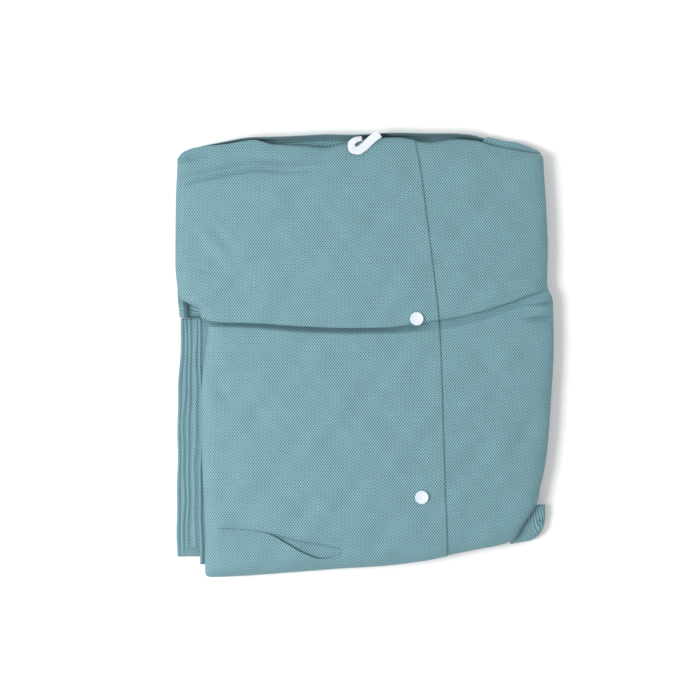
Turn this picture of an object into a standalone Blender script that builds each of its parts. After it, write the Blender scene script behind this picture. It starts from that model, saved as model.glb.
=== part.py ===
"""A disposable lab coat, folded into a flat packet that lies face up on its underside.

The two fronts are thin walls over one solid that stands for the hidden layers. The
fronts meet at an overlap held by two snaps, a deep crease crosses the packet, and the
turned sides, the sleeves and the pocket are walls of their own. X runs to the right of
the packet as it is seen, Y to its neck end and Z up. Lengths are in millimetres until
a mesh is made.
"""

import math
from bisect import bisect_right
from collections import namedtuple

import bmesh
import bpy
from mathutils import Vector

MM = 0.001

# Cloth and clearances
CLOTH_WALL = 1.2
SEAM_GAP = 0.35
PLY_STEP = CLOTH_WALL + SEAM_GAP
CORE_CLEARANCE = 0.2

# Heights of the packet's face
FACE_EDGE_HEIGHT = 21.0
UPPER_CROWN = 6.5
LOWER_CROWN = 6.0
UPPER_CROWN_Y = 112.0
LOWER_CROWN_Y = -88.0
UPPER_HALF_LENGTH = 90.0
LOWER_HALF_LENGTH = 122.0
CROWN_HALF_WIDTH = 180.0
CROWN_POWER = 2.6

# The fold that the fronts make round the packet's rim
RIM_WIDTH = 14.0
RIM_HEIGHT = 15.5
RIM_POWER = 2.2
CORNER_POWER = 4.2
NOSE_RADIUS = 3.6
NOSE_TUCK = 2.5
CORE_TUCK = 3.6
DEEPEST = 4.0
MOST_SLANT = 2.0

# Overlap of the fronts, and the snaps on it
OVERLAP_WIDTH = 36.0
STEP_RUN_IN = 25.0
STEP_RUN_OUT = 60.0
STEP_LEVEL = 4.0
SNAP_DIAMETER = 12.4
SNAP_HEIGHT = 2.0
SNAP_SEGMENTS = 24
SNAP_RIM_WIDTH = 1.0
SNAP_RIM_CHAMFER = 0.7
SNAP_DISH = 0.45
SEAT_SAMPLES = 16

# Grid of the face
RIM_ANGLES = (0.0, 30.0, 60.0, 90.0)
CREASE_STEPS = (3.0, 6.0, 10.5, 17.0, 27.0)
LOWER_SPANS = 6
UPPER_SPANS = 5
LEFT_SPANS = 6
OVERLAP_SPANS = 3
RIGHT_SPANS = 4
NOSE_ANGLES = (30.0, 60.0, 90.0)
SETTLING_PASSES = 6
GRID_START_LENGTH = 400.0

EdgePoint = namedtuple("EdgePoint", "x y")
CreasePoint = namedtuple("CreasePoint", "x y depth half_width")
Leaf = namedtuple("Leaf", "low high left right bottom top")
SideFold = namedtuple("SideFold", "name edge low high")
BandPoint = namedtuple("BandPoint", "inner_x inner_y outer_x outer_y")
TapePoint = namedtuple("TapePoint", "x y width lift")

# Outline of the face, seen from above
FACE_BOTTOM = (
    EdgePoint(x=-148.0, y=-204.9),
    EdgePoint(x=-118.0, y=-204.3),
    EdgePoint(x=-70.0, y=-201.4),
    EdgePoint(x=-22.0, y=-198.2),
    EdgePoint(x=14.0, y=-196.0),
    EdgePoint(x=53.0, y=-191.5),
    EdgePoint(x=76.0, y=-187.0),
    EdgePoint(x=104.0, y=-181.0),
    EdgePoint(x=127.0, y=-176.0),
    EdgePoint(x=138.0, y=-171.0),
    EdgePoint(x=145.0, y=-160.0),
    EdgePoint(x=156.0, y=-144.0),
    EdgePoint(x=162.0, y=-136.0),
)
FACE_TOP = (
    EdgePoint(x=-173.0, y=182.0),
    EdgePoint(x=-166.0, y=186.5),
    EdgePoint(x=-158.0, y=190.5),
    EdgePoint(x=-127.0, y=191.5),
    EdgePoint(x=-102.0, y=195.5),
    EdgePoint(x=-81.0, y=193.5),
    EdgePoint(x=-55.0, y=192.5),
    EdgePoint(x=-37.0, y=191.0),
    EdgePoint(x=-19.0, y=194.5),
    EdgePoint(x=1.0, y=199.0),
    EdgePoint(x=30.0, y=200.5),
    EdgePoint(x=60.0, y=196.5),
    EdgePoint(x=90.0, y=199.0),
    EdgePoint(x=116.0, y=197.5),
    EdgePoint(x=128.0, y=190.0),
    EdgePoint(x=165.0, y=185.0),
)
FACE_LEFT = (
    EdgePoint(x=-147.5, y=-206.0),
    EdgePoint(x=-147.0, y=-175.0),
    EdgePoint(x=-150.5, y=-88.0),
    EdgePoint(x=-151.0, y=-42.0),
    EdgePoint(x=-146.0, y=13.0),
    EdgePoint(x=-144.5, y=28.0),
    EdgePoint(x=-150.5, y=33.0),
    EdgePoint(x=-152.5, y=41.0),
    EdgePoint(x=-167.5, y=50.0),
    EdgePoint(x=-172.5, y=59.0),
    EdgePoint(x=-174.9, y=85.0),
    EdgePoint(x=-174.5, y=140.0),
    EdgePoint(x=-173.0, y=182.0),
)
FACE_RIGHT = (
    EdgePoint(x=160.5, y=-150.0),
    EdgePoint(x=162.0, y=-125.0),
    EdgePoint(x=165.0, y=-114.0),
    EdgePoint(x=169.5, y=-83.0),
    EdgePoint(x=172.0, y=-50.0),
    EdgePoint(x=174.9, y=10.0),
    EdgePoint(x=174.2, y=49.0),
    EdgePoint(x=168.8, y=65.0),
    EdgePoint(x=169.5, y=97.0),
    EdgePoint(x=168.5, y=128.0),
    EdgePoint(x=165.5, y=185.0),
)

# Free edge of the right front, where it lies over the left front
OVERLAP_EDGE = (
    EdgePoint(x=46.5, y=205.0),
    EdgePoint(x=51.5, y=170.0),
    EdgePoint(x=57.0, y=128.0),
    EdgePoint(x=63.0, y=80.5),
    EdgePoint(x=69.0, y=27.0),
    EdgePoint(x=70.5, y=-5.0),
    EdgePoint(x=73.0, y=-88.0),
    EdgePoint(x=74.5, y=-132.0),
    EdgePoint(x=76.5, y=-187.0),
)

# The crease across the packet, an open gap at the left and a soft valley at the right
CREASE = (
    CreasePoint(x=-148.0, y=28.7, depth=1.5, half_width=3.6),
    CreasePoint(x=-128.0, y=28.0, depth=5.5, half_width=4.0),
    CreasePoint(x=-100.0, y=27.0, depth=8.0, half_width=4.2),
    CreasePoint(x=-57.0, y=24.0, depth=8.0, half_width=4.2),
    CreasePoint(x=-14.0, y=22.5, depth=8.0, half_width=4.6),
    CreasePoint(x=20.0, y=22.8, depth=7.0, half_width=5.0),
    CreasePoint(x=48.0, y=25.5, depth=4.0, half_width=7.0),
    CreasePoint(x=70.0, y=28.0, depth=2.6, half_width=9.0),
    CreasePoint(x=92.0, y=32.0, depth=3.0, half_width=9.0),
    CreasePoint(x=114.0, y=38.0, depth=3.6, half_width=8.5),
    CreasePoint(x=138.0, y=46.0, depth=4.0, half_width=8.0),
    CreasePoint(x=155.0, y=52.0, depth=3.6, half_width=7.5),
    CreasePoint(x=174.0, y=57.0, depth=3.0, half_width=7.0),
)

# Outline of the layers behind the fronts' top fold
BEHIND_TOP = (
    EdgePoint(x=-174.0, y=183.0),
    EdgePoint(x=-158.0, y=193.0),
    EdgePoint(x=-137.0, y=195.5),
    EdgePoint(x=-127.0, y=197.0),
    EdgePoint(x=-102.0, y=200.5),
    EdgePoint(x=-69.0, y=201.5),
    EdgePoint(x=-36.0, y=203.2),
    EdgePoint(x=-15.0, y=202.5),
    EdgePoint(x=30.0, y=204.6),
    EdgePoint(x=60.0, y=204.2),
    EdgePoint(x=96.0, y=204.0),
    EdgePoint(x=112.0, y=202.8),
    EdgePoint(x=128.0, y=199.0),
    EdgePoint(x=140.0, y=197.5),
    EdgePoint(x=152.0, y=193.5),
    EdgePoint(x=166.0, y=188.5),
)

# Left edge of the hidden layers, past the top of the turned sides
BEHIND_LEFT = (
    EdgePoint(x=-172.4, y=34.0),
    EdgePoint(x=-174.2, y=60.0),
    EdgePoint(x=-174.9, y=85.0),
    EdgePoint(x=-174.5, y=140.0),
    EdgePoint(x=-173.0, y=182.0),
)
BEHIND_LEFT_START = 32.0
BEHIND_LEFT_RUN = 2.5

# The back panel's edge stands up there
BACK_NECK_LEFT = -158.0
BACK_NECK_RIGHT = 112.0
BACK_NECK_LOW = 4.4
BACK_NECK_HIGH = 17.5
BACK_NECK_LEAN = 2.2
BACK_NECK_END_DROP = 3.0
BACK_NECK_COLUMNS = 18
BACK_NECK_ROWS = 4

# Hidden layers under the face: heights, and how far each stands in from the outline round it
LEAVES = (
    Leaf(low=7.9, high=11.4, left=3.0, right=1.2, bottom=5.0, top=0.6),
    Leaf(low=4.2, high=7.6, left=0.6, right=3.0, bottom=2.5, top=3.3),
    Leaf(low=0.0, high=3.9, left=2.0, right=0.0, bottom=6.5, top=2.0),
)
UPPER_LEAF_TOP_INSET = 3.0
FACE_GROOVE = 8.2
FACE_GROOVE_HEIGHT = 11.5
LEAF_GROOVE = 4.5
LEAF_SHOULDER = 1.3
LEAF_CORNER = 10.0

# The turned sides fill the space that the hidden layers leave at the lower left
SIDE_FOLDS_INNER_X = -136.0
SIDE_FOLDS_TOP_Y = 31.4
CORE_LOWER_LEFT = -134.5
SIDE_FOLD_ROWS = 9
SIDE_FOLD_GAP = 4.0
SIDE_FOLD_WALL = 1.0
BACK_SIDE = (
    EdgePoint(x=-174.5, y=-188.6),
    EdgePoint(x=-174.9, y=-120.0),
    EdgePoint(x=-173.6, y=-42.0),
    EdgePoint(x=-171.5, y=SIDE_FOLDS_TOP_Y),
)
RIGHT_SLEEVE_SIDE = (
    EdgePoint(x=-166.5, y=-180.6),
    EdgePoint(x=-165.5, y=-110.0),
    EdgePoint(x=-165.0, y=-38.0),
    EdgePoint(x=-163.5, y=SIDE_FOLDS_TOP_Y),
)
FRONT_SIDE = (
    EdgePoint(x=-153.0, y=-194.9),
    EdgePoint(x=-153.5, y=-120.0),
    EdgePoint(x=-153.2, y=-42.0),
    EdgePoint(x=-154.5, y=SIDE_FOLDS_TOP_Y),
)
SIDE_FOLDS = (
    SideFold(name="back_side_fold", edge=BACK_SIDE, low=0.3, high=3.7),
    SideFold(name="right_sleeve_fold", edge=RIGHT_SLEEVE_SIDE, low=4.05, high=7.35),
    SideFold(name="front_side_fold", edge=FRONT_SIDE, low=7.7, high=10.9),
)

# The left sleeve's fold, round the bottom right corner
LEFT_SLEEVE = (
    BandPoint(inner_x=157.0, inner_y=-140.0, outer_x=167.9, outer_y=-140.0),
    BandPoint(inner_x=155.5, inner_y=-142.5, outer_x=168.1, outer_y=-146.0),
    BandPoint(inner_x=153.0, inner_y=-145.5, outer_x=168.0, outer_y=-152.0),
    BandPoint(inner_x=150.5, inner_y=-148.5, outer_x=166.6, outer_y=-159.5),
    BandPoint(inner_x=147.5, inner_y=-151.0, outer_x=162.5, outer_y=-167.0),
    BandPoint(inner_x=143.0, inner_y=-157.0, outer_x=155.0, outer_y=-172.5),
    BandPoint(inner_x=138.0, inner_y=-163.0, outer_x=146.0, outer_y=-174.5),
    BandPoint(inner_x=132.0, inner_y=-167.0, outer_x=136.0, outer_y=-176.5),
)
LEFT_SLEEVE_HIGH = 11.4
LEFT_SLEEVE_LOW = 4.8
LEFT_SLEEVE_TUCK = 3.5
CORE_SLEEVE_CORNER_X = 150.5
CORE_SLEEVE_CORNER_Y = -143.0

# The pocket on the right front, whose mouth sags open
POCKET_LEFT = -139.0
POCKET_RIGHT = -19.0
POCKET_MOUTH = (
    EdgePoint(x=-139.0, y=-160.0),
    EdgePoint(x=-110.0, y=-161.5),
    EdgePoint(x=-90.0, y=-164.5),
    EdgePoint(x=-72.0, y=-174.0),
    EdgePoint(x=-56.0, y=-183.0),
    EdgePoint(x=-40.0, y=-188.2),
    EdgePoint(x=-28.0, y=-186.5),
    EdgePoint(x=-19.0, y=-179.5),
)
POCKET_LIFT = 0.45
POCKET_COLUMNS = 14
POCKET_SPANS = 3

# The snaps lie on the right front near its free edge
UPPER_SNAP = EdgePoint(x=48.0, y=32.6)
LOWER_SNAP = EdgePoint(x=52.5, y=-131.3)

# The curled tape at the neck
NECK_TAPE = (
    TapePoint(x=13.6, y=203.1, width=8.0, lift=1.6),
    TapePoint(x=6.5, y=197.6, width=8.0, lift=1.4),
    TapePoint(x=-0.8, y=190.6, width=8.0, lift=0.9),
    TapePoint(x=-6.0, y=187.4, width=7.8, lift=0.9),
    TapePoint(x=-11.0, y=188.6, width=7.4, lift=1.2),
    TapePoint(x=-12.2, y=193.0, width=6.6, lift=2.0),
    TapePoint(x=-8.4, y=197.0, width=5.4, lift=2.6),
    TapePoint(x=-2.6, y=198.6, width=4.0, lift=2.4),
)
TAPE_WALL = 1.0
TAPE_SPANS = 4
TAPE_SIDES = (-1.0, -0.33, 0.33, 1.0)
TAPE_LEVEL_EDGE = 6.3

TEAL = (0.216, 0.397, 0.448)
TEAL_SHADE = (0.165, 0.314, 0.361)
WHITE_TAPE = (0.82, 0.84, 0.87)
WHITE_PLASTIC = (0.86, 0.89, 0.92)


class Curve:
    """A smooth curve through (place, value) rows. It is level past its ends and never overshoots a row."""

    def __init__(self, rows):
        rows = sorted(rows)
        self.places = [place for place, _ in rows]
        self.values = [value for _, value in rows]
        self.slopes = self._slopes()

    def _slopes(self):
        secants = []
        for k in range(len(self.places) - 1):
            run = self.places[k + 1] - self.places[k]
            secants.append((self.values[k + 1] - self.values[k]) / run)
        inner = []
        for before, after in zip(secants, secants[1:]):
            turns = before * after <= 0.0
            inner.append(0.0 if turns else 2.0 * before * after / (before + after))
        return [0.0, *inner, 0.0]

    def __call__(self, at):
        if at <= self.places[0]:
            return self.values[0]
        if at >= self.places[-1]:
            return self.values[-1]
        k = bisect_right(self.places, at) - 1
        run = self.places[k + 1] - self.places[k]
        t = (at - self.places[k]) / run
        start = self.values[k] * (1 + 2 * t) * (1 - t) ** 2
        end = self.values[k + 1] * (3 - 2 * t) * t**2
        leaving = self.slopes[k] * run * t * (1 - t) ** 2
        arriving = self.slopes[k + 1] * run * t**2 * (t - 1)
        return start + end + leaving + arriving


def curve_of(rows, place, value):
    return Curve([(getattr(row, place), getattr(row, value)) for row in rows])


face_left_x = curve_of(FACE_LEFT, "y", "x")
face_right_x = curve_of(FACE_RIGHT, "y", "x")
face_bottom_y = curve_of(FACE_BOTTOM, "x", "y")
face_top_y = curve_of(FACE_TOP, "x", "y")
overlap_x = curve_of(OVERLAP_EDGE, "y", "x")
crease_y = curve_of(CREASE, "x", "y")
crease_depth = curve_of(CREASE, "x", "depth")
crease_half_width = curve_of(CREASE, "x", "half_width")
pocket_mouth_y = curve_of(POCKET_MOUTH, "x", "y")
behind_top_y = curve_of(BEHIND_TOP, "x", "y")
behind_left_x = curve_of(BEHIND_LEFT, "y", "x")


class Outline:
    """The four sides of a layer, seen from above, each a curve, with its corners rounded."""

    def __init__(self, left, right, bottom, top, corner):
        self.left = left
        self.right = right
        self.bottom = bottom
        self.top = top
        self.corner = corner

    def inset(self, x, y):
        """How far a point lies into the rounded rim: (across X, across Y), 0 inside it and 1 at the outline."""
        from_side = min(x - self.left(y), self.right(y) - x)
        from_end = min(y - self.bottom(x), self.top(x) - y)
        return (
            min(1.0, max(0.0, 1.0 - from_side / self.corner)),
            min(1.0, max(0.0, 1.0 - from_end / self.corner)),
        )

    def inward(self, x, y):
        """Signs of the way in, across X and across Y."""
        to_right = 1.0 if x - self.left(y) < self.right(y) - x else -1.0
        to_top = 1.0 if y - self.bottom(x) < self.top(x) - y else -1.0
        return to_right, to_top

    def rounded(self, x, y):
        """The point drawn in to the rounded outline, with its place in the rim: (x, y, rim)."""
        across, along = self.inset(x, y)
        rim = (across**CORNER_POWER + along**CORNER_POWER) ** (1.0 / CORNER_POWER)
        if rim <= 1.0:
            return x, y, rim
        to_right, to_top = self.inward(x, y)
        x += to_right * self.corner * across * (1.0 - 1.0 / rim)
        y += to_top * self.corner * along * (1.0 - 1.0 / rim)
        return x, y, 1.0

    def way_in(self, x, y):
        """Unit direction from a point of the outline into the layer."""
        across, along = self.inset(x, y)
        to_right, to_top = self.inward(x, y)
        way = Vector((to_right * across**2, to_top * along**2))
        return way.normalized() if way.length > 0.0 else Vector((to_right, 0.0))


def face_outline(depth):
    """Outline of the surface that lies this far inside the face's outer one."""
    return Outline(
        left=lambda y: face_left_x(y) + depth * slant(face_left_x, y),
        right=lambda y: face_right_x(y) - depth * slant(face_right_x, y),
        bottom=lambda x: face_bottom_y(x) + depth * slant(face_bottom_y, x),
        top=lambda x: face_top_y(x) - depth * slant(face_top_y, x),
        corner=RIM_WIDTH - depth,
    )


def slant(curve, at):
    """How much longer the way across a slanted edge is when it is taken straight along X or Y."""
    return min(MOST_SLANT, math.hypot(1.0, (curve(at + 2.0) - curve(at - 2.0)) / 4.0))


def smooth_step(t):
    t = min(1.0, max(0.0, t))
    return t * t * (3.0 - 2.0 * t)


def crown(x, y, centre_y, half_length):
    """One pillow's rise over the face's edge height, from 0 to 1."""
    across = min(1.0, abs(x) / CROWN_HALF_WIDTH)
    along = min(1.0, abs(y - centre_y) / half_length)
    return (1.0 - across**CROWN_POWER) * (1.0 - along**CROWN_POWER)


def face_height(x, y):
    """Height of the face's outer surface away from its rim."""
    rise = UPPER_CROWN * crown(x, y, UPPER_CROWN_Y, UPPER_HALF_LENGTH)
    rise += LOWER_CROWN * crown(x, y, LOWER_CROWN_Y, LOWER_HALF_LENGTH)
    from_crease = abs(y - crease_y(x))
    trough = crease_depth(x) * smooth_step(1.0 - from_crease / (1.6 * crease_half_width(x)))
    return FACE_EDGE_HEIGHT + rise - trough


def steepness(x, y):
    """How much further down than straight in a layer lies at this point, 1 on the level."""
    steepest = 0.0
    here = face_height(x, y)
    for step in (-4.0, -2.0, 2.0, 4.0):
        steepest = max(steepest, abs(face_height(x, y + step) - here) / abs(step))
    return math.sqrt(1.0 + steepest**2)


def face_point(x, y, depth, outline):
    """Point of the surface this far inside the face's outer one, over a place in its outline."""
    x, y, rim = outline.rounded(x, y)
    height = face_height(x, y) - depth * steepness(x, y)
    fall = (1.0 - rim**RIM_POWER) ** (1.0 / RIM_POWER)
    return Vector((x, y, RIM_HEIGHT + (height - RIM_HEIGHT) * fall))


def nose_points(edge, depth, outline, tuck_length):
    """The fold under the rim: from a point of the rim's edge down, round and in."""
    way = outline.way_in(edge.x, edge.y)
    radius = NOSE_RADIUS - depth
    points = []
    for angle in NOSE_ANGLES:
        turn = math.radians(angle)
        shift = way * (radius * (1.0 - math.cos(turn)))
        points.append(Vector((edge.x + shift.x, edge.y + shift.y, edge.z - radius * math.sin(turn))))
    last = points[-1]
    tuck = way * tuck_length
    points.append(Vector((last.x + tuck.x, last.y + tuck.y, last.z)))
    return points


def rim_steps(width):
    return [width * (1.0 - math.cos(math.radians(angle))) for angle in RIM_ANGLES]


def spread(start, end, spans):
    """Places between two others, both left out."""
    return [start + (end - start) * k / spans for k in range(1, spans)]


def row_places(low, crease, high, width):
    """Where the grid's rows cross one column, from the packet's foot end to its neck end."""
    steps = rim_steps(width)
    places = [low + step for step in steps]
    places += spread(low + width, crease - CREASE_STEPS[-1], LOWER_SPANS)
    places += [crease - step for step in reversed(CREASE_STEPS)]
    places += [crease]
    places += [crease + step for step in CREASE_STEPS]
    places += spread(crease + CREASE_STEPS[-1], high - width, UPPER_SPANS)
    places += [high - step for step in reversed(steps)]
    return places


def column_places(left, overlap, right, width):
    """Where the grid's columns cross one row, from left to right."""
    steps = rim_steps(width)
    under = overlap - OVERLAP_WIDTH
    places = [left + step for step in steps]
    places += spread(left + width, under - STEP_RUN_IN, LEFT_SPANS)
    places += [under - STEP_RUN_IN, under]
    places += spread(under, overlap, OVERLAP_SPANS)
    places += [overlap]
    places += spread(overlap, right - width, RIGHT_SPANS)
    places += [right - step for step in reversed(steps)]
    return places


OVERLAP_START_COLUMN = len(RIM_ANGLES) + LEFT_SPANS
OVERLAP_END_COLUMN = OVERLAP_START_COLUMN + OVERLAP_SPANS
LAST_COLUMN = len(column_places(0.0, 0.5 * GRID_START_LENGTH, GRID_START_LENGTH, RIM_WIDTH)) - 1
ROWS = len(row_places(0.0, 0.5 * GRID_START_LENGTH, GRID_START_LENGTH, RIM_WIDTH))


def plan_grid(outline):
    """The grid's places in the outline, seen from above: rows of (x, y)."""
    width = outline.corner
    grid = []
    for j in range(ROWS):
        start_y = GRID_START_LENGTH * (j / (ROWS - 1) - 0.5)
        grid.append([(0.0, start_y)] * (LAST_COLUMN + 1))
    for _ in range(SETTLING_PASSES):
        for j in range(ROWS):
            for i in range(LAST_COLUMN + 1):
                y = grid[j][i][1]
                x = column_places(outline.left(y), overlap_x(y), outline.right(y), width)[i]
                y = row_places(outline.bottom(x), crease_y(x), outline.top(x), width)[j]
                grid[j][i] = (x, y)
    return grid


def under_step(x, y):
    """How far the left front lies below the right front's surface: a ply at the overlap, none well past it."""
    past = (x - overlap_x(y) - STEP_LEVEL) / STEP_RUN_OUT
    return PLY_STEP * (1.0 - smooth_step(past))


def core_step(x, y):
    """How far the hidden layers lie below the face's outer surface."""
    start = overlap_x(y) - OVERLAP_WIDTH
    if x < start:
        run_in = smooth_step((x - start + STEP_RUN_IN) / STEP_RUN_IN)
        return CORE_CLEARANCE + PLY_STEP * (1.0 + run_in)
    return CORE_CLEARANCE + PLY_STEP + under_step(x, y)


def layer_places(depth_at, first, last):
    """Places of a run of the grid's columns on a layer whose depth may change: rows of (x, y, depth)."""
    face = plan_grid(face_outline(0.0))
    deep = plan_grid(face_outline(DEEPEST))
    places = []
    for face_row, deep_row in zip(face, deep):
        line = []
        for (x, y), (deep_x, deep_y) in list(zip(face_row, deep_row))[first : last + 1]:
            depth = depth_at(x, y)
            share = depth / DEEPEST
            line.append((x + (deep_x - x) * share, y + (deep_y - y) * share, depth))
        places.append(line)
    return places


def border(rows, columns, sides):
    """Grid places along the wrapped sides, in order round the sheet. sides is left, right or both."""
    bottom = [(0, i) for i in range(columns)]
    top = [(rows - 1, i) for i in range(columns)]
    left = [(j, 0) for j in range(rows)]
    right = [(j, columns - 1) for j in range(rows)]
    if sides == "left":
        return top[::-1] + left[::-1][1:] + bottom[1:]
    if sides == "right":
        return bottom + right[1:] + top[::-1][1:]
    return bottom + right[1:] + top[::-1][1:] + left[::-1][1:-1]


def wrapped_sheet(depth_at, first, last, sides, tuck=NOSE_TUCK):
    """A surface of the face with its folded rim: its points, its faces and its last ring."""
    places = layer_places(depth_at, first, last)
    rows = len(places)
    columns = len(places[0])
    points = [face_point(*place, face_outline(place[2])) for line in places for place in line]
    faces = band_faces(rows, columns)
    loop = border(rows, columns, sides)
    ring = [j * columns + i for j, i in loop]
    noses = []
    for j, i in loop:
        depth = places[j][i][2]
        noses.append(nose_points(points[j * columns + i], depth, face_outline(depth), tuck))
    for k in range(len(NOSE_ANGLES) + 1):
        next_ring = list(range(len(points), len(points) + len(loop)))
        points += [nose[k] for nose in noses]
        faces += ring_faces(ring, next_ring, sides == "both")
        ring = next_ring
    return points, faces, ring


def ring_faces(ring, next_ring, closed):
    """Faces between two rings of point numbers."""
    count = len(ring) if closed else len(ring) - 1
    faces = []
    for k in range(count):
        after = (k + 1) % len(ring)
        faces += split_face(ring[after], ring[k], next_ring[k], next_ring[after])
    return faces


def band_faces(rows, columns):
    """Faces of a plain grid of points."""
    faces = []
    for j in range(rows - 1):
        for i in range(columns - 1):
            corner = j * columns + i
            faces += split_face(corner, corner + 1, corner + 1 + columns, corner + columns)
    return faces


def split_face(first, second, third, fourth):
    """A four-sided face as two triangles, cut the same way on every layer so that layers stay parallel."""
    return [(first, second, third), (first, third, fourth)]


def wall_mesh(name, outer, inner, faces):
    """A closed wall between two surfaces of the same faces."""
    mesh = bmesh.new()
    outer_verts = [mesh.verts.new(point * MM) for point in outer]
    inner_verts = [mesh.verts.new(point * MM) for point in inner]
    uses = {}
    for face in faces:
        mesh.faces.new([outer_verts[k] for k in face])
        mesh.faces.new([inner_verts[k] for k in reversed(face)])
        for start, end in zip(face, face[1:] + face[:1]):
            uses.setdefault(frozenset((start, end)), []).append((start, end))
    for found in uses.values():
        if len(found) == 1:
            start, end = found[0]
            mesh.faces.new((outer_verts[end], outer_verts[start], inner_verts[start], inner_verts[end]))
    return finished(mesh, name)


def finished(mesh, name):
    """The mesh as an object of the scene, facing out and smooth over its soft folds."""
    bmesh.ops.recalc_face_normals(mesh, faces=mesh.faces[:])
    if mesh.calc_volume(signed=True) < 0.0:
        bmesh.ops.reverse_faces(mesh, faces=mesh.faces[:])
    data = bpy.data.meshes.new(name)
    mesh.to_mesh(data)
    mesh.free()
    data.shade_smooth()
    data.set_sharp_from_angle(angle=math.radians(50.0))
    made = bpy.data.objects.new(name, data)
    bpy.context.scene.collection.objects.link(made)
    return made


def material(name, colour, roughness):
    made = bpy.data.materials.new(name)
    made.use_nodes = True
    shader = made.node_tree.nodes["Principled BSDF"]
    shader.inputs["Base Color"].default_value = (*colour, 1.0)
    shader.inputs["Roughness"].default_value = roughness
    shader.inputs["Metallic"].default_value = 0.0
    return made


def make_front(name, first, last, sides, depth_at):
    """One front: a wall over its columns, folded round the packet's rim."""
    outer, faces, _ = wrapped_sheet(depth_at, first, last, sides)
    inner, _, _ = wrapped_sheet(lambda x, y: depth_at(x, y) + CLOTH_WALL, first, last, sides)
    return wall_mesh(name, outer, inner, faces)


def make_fronts(cloth):
    right = make_front("right_front", 0, OVERLAP_END_COLUMN, "left", lambda x, y: 0.0)
    left = make_front("left_front", OVERLAP_START_COLUMN, LAST_COLUMN, "right", under_step)
    for front in (right, left):
        front.data.materials.append(cloth)


def leaf_outline(leaf, extra):
    """Outline of a hidden leaf, drawn in further by extra."""
    is_upper = leaf is LEAVES[0]
    is_lowest = leaf is LEAVES[-1]

    def left(y):
        upper = behind_left_x(y) + leaf.left
        in_lower = 1.0 - smooth_step((y - BEHIND_LEFT_START) / BEHIND_LEFT_RUN)
        return upper + (CORE_LOWER_LEFT - upper) * in_lower + extra

    def right(y):
        full = face_right_x(y) - leaf.right
        by_sleeve = 0.0 if is_lowest else 1.0 - smooth_step((y - LEFT_SLEEVE[0].outer_y) / 10.0)
        return full + (CORE_SLEEVE_CORNER_X - full) * by_sleeve - extra

    def bottom(x):
        full = face_bottom_y(min(x, LEFT_SLEEVE[-1].inner_x)) + leaf.bottom
        by_sleeve = 0.0 if is_lowest else smooth_step((x - LEFT_SLEEVE[-1].inner_x + 10.0) / 10.0)
        return full + (CORE_SLEEVE_CORNER_Y - full) * by_sleeve + extra

    def top(x):
        full = behind_top_y(x) - leaf.top
        past_neck = smooth_step((x - BACK_NECK_RIGHT - 4.0) / 12.0)
        if is_upper:
            under_face = face_top_y(x) - UPPER_LEAF_TOP_INSET
            full = under_face + (full - under_face) * past_neck
        return full - extra

    return Outline(left, right, bottom, top, LEAF_CORNER)


def outline_ring(loop, outline, height):
    """Points round an outline at one height."""
    grid = plan_grid(outline)
    points = []
    for j, i in loop:
        x, y, _ = outline.rounded(*grid[j][i])
        points.append(Vector((x, y, height)))
    return points


def leaf_rings(loop):
    """The rings down the layered edge, from the groove under the face's fold to the underside."""
    rings = [outline_ring(loop, face_outline(FACE_GROOVE), FACE_GROOVE_HEIGHT)]
    for leaf in LEAVES:
        rise = leaf.high - leaf.low
        if leaf is not LEAVES[0]:
            rings.append(outline_ring(loop, leaf_outline(leaf, LEAF_GROOVE), leaf.high + 0.1))
        rings.append(outline_ring(loop, leaf_outline(leaf, LEAF_SHOULDER), leaf.high - 0.15 * rise))
        rings.append(outline_ring(loop, leaf_outline(leaf, 0.0), leaf.low + 0.5 * rise))
        if leaf is not LEAVES[-1]:
            rings.append(outline_ring(loop, leaf_outline(leaf, LEAF_SHOULDER), leaf.low + 0.15 * rise))
    rings.append(outline_ring(loop, leaf_outline(LEAVES[-1], 0.8), 0.8))
    rings.append(outline_ring(loop, leaf_outline(LEAVES[-1], 2.5), 0.0))
    return rings


def make_folded_layers(cloth):
    """The hidden layers: one solid under the face, with a rounded edge for each leaf and a flat underside."""
    points, faces, ring = wrapped_sheet(core_step, 0, LAST_COLUMN, "both", CORE_TUCK)
    loop = border(ROWS, LAST_COLUMN + 1, "both")
    for ring_points in leaf_rings(loop):
        next_ring = list(range(len(points), len(points) + len(loop)))
        points += ring_points
        faces += ring_faces(ring, next_ring, True)
        ring = next_ring
    mesh = bmesh.new()
    verts = [mesh.verts.new(point * MM) for point in points]
    for face in faces:
        mesh.faces.new([verts[k] for k in face])
    underside = mesh.faces.new([verts[k] for k in reversed(ring)])
    bmesh.ops.triangulate(mesh, faces=[underside])
    finished(mesh, "folded_layers").data.materials.append(cloth)


def fold_section(inner, outer, low, high, depth, tuck):
    """One section through a turned edge: over the top ply, round the nose and back under."""
    way = (outer - inner).normalized()
    radius = 0.5 * (high - low)
    centre = outer - way * radius
    middle = 0.5 * (low + high)
    points = [Vector((inner.x, inner.y, high - depth))]
    for angle in (90.0, 60.0, 30.0, 0.0, -30.0, -60.0, -90.0):
        turn = math.radians(angle)
        reach = way * ((radius - depth) * math.cos(turn))
        points.append(Vector((centre.x + reach.x, centre.y + reach.y, middle + (radius - depth) * math.sin(turn))))
    back = centre - way * tuck
    points.append(Vector((back.x, back.y, low + depth)))
    return points


def make_fold(name, stations, low, high, tuck, cloth, wall):
    """A turned edge: a wall folded over on itself along a run of stations."""
    outer = []
    inner = []
    for station in stations:
        start = Vector((station.inner_x, station.inner_y))
        end = Vector((station.outer_x, station.outer_y))
        outer += fold_section(start, end, low, high, 0.0, tuck)
        inner += fold_section(start, end, low, high, wall, tuck)
    columns = len(outer) // len(stations)
    wall_mesh(name, outer, inner, band_faces(len(stations), columns)).data.materials.append(cloth)


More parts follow.
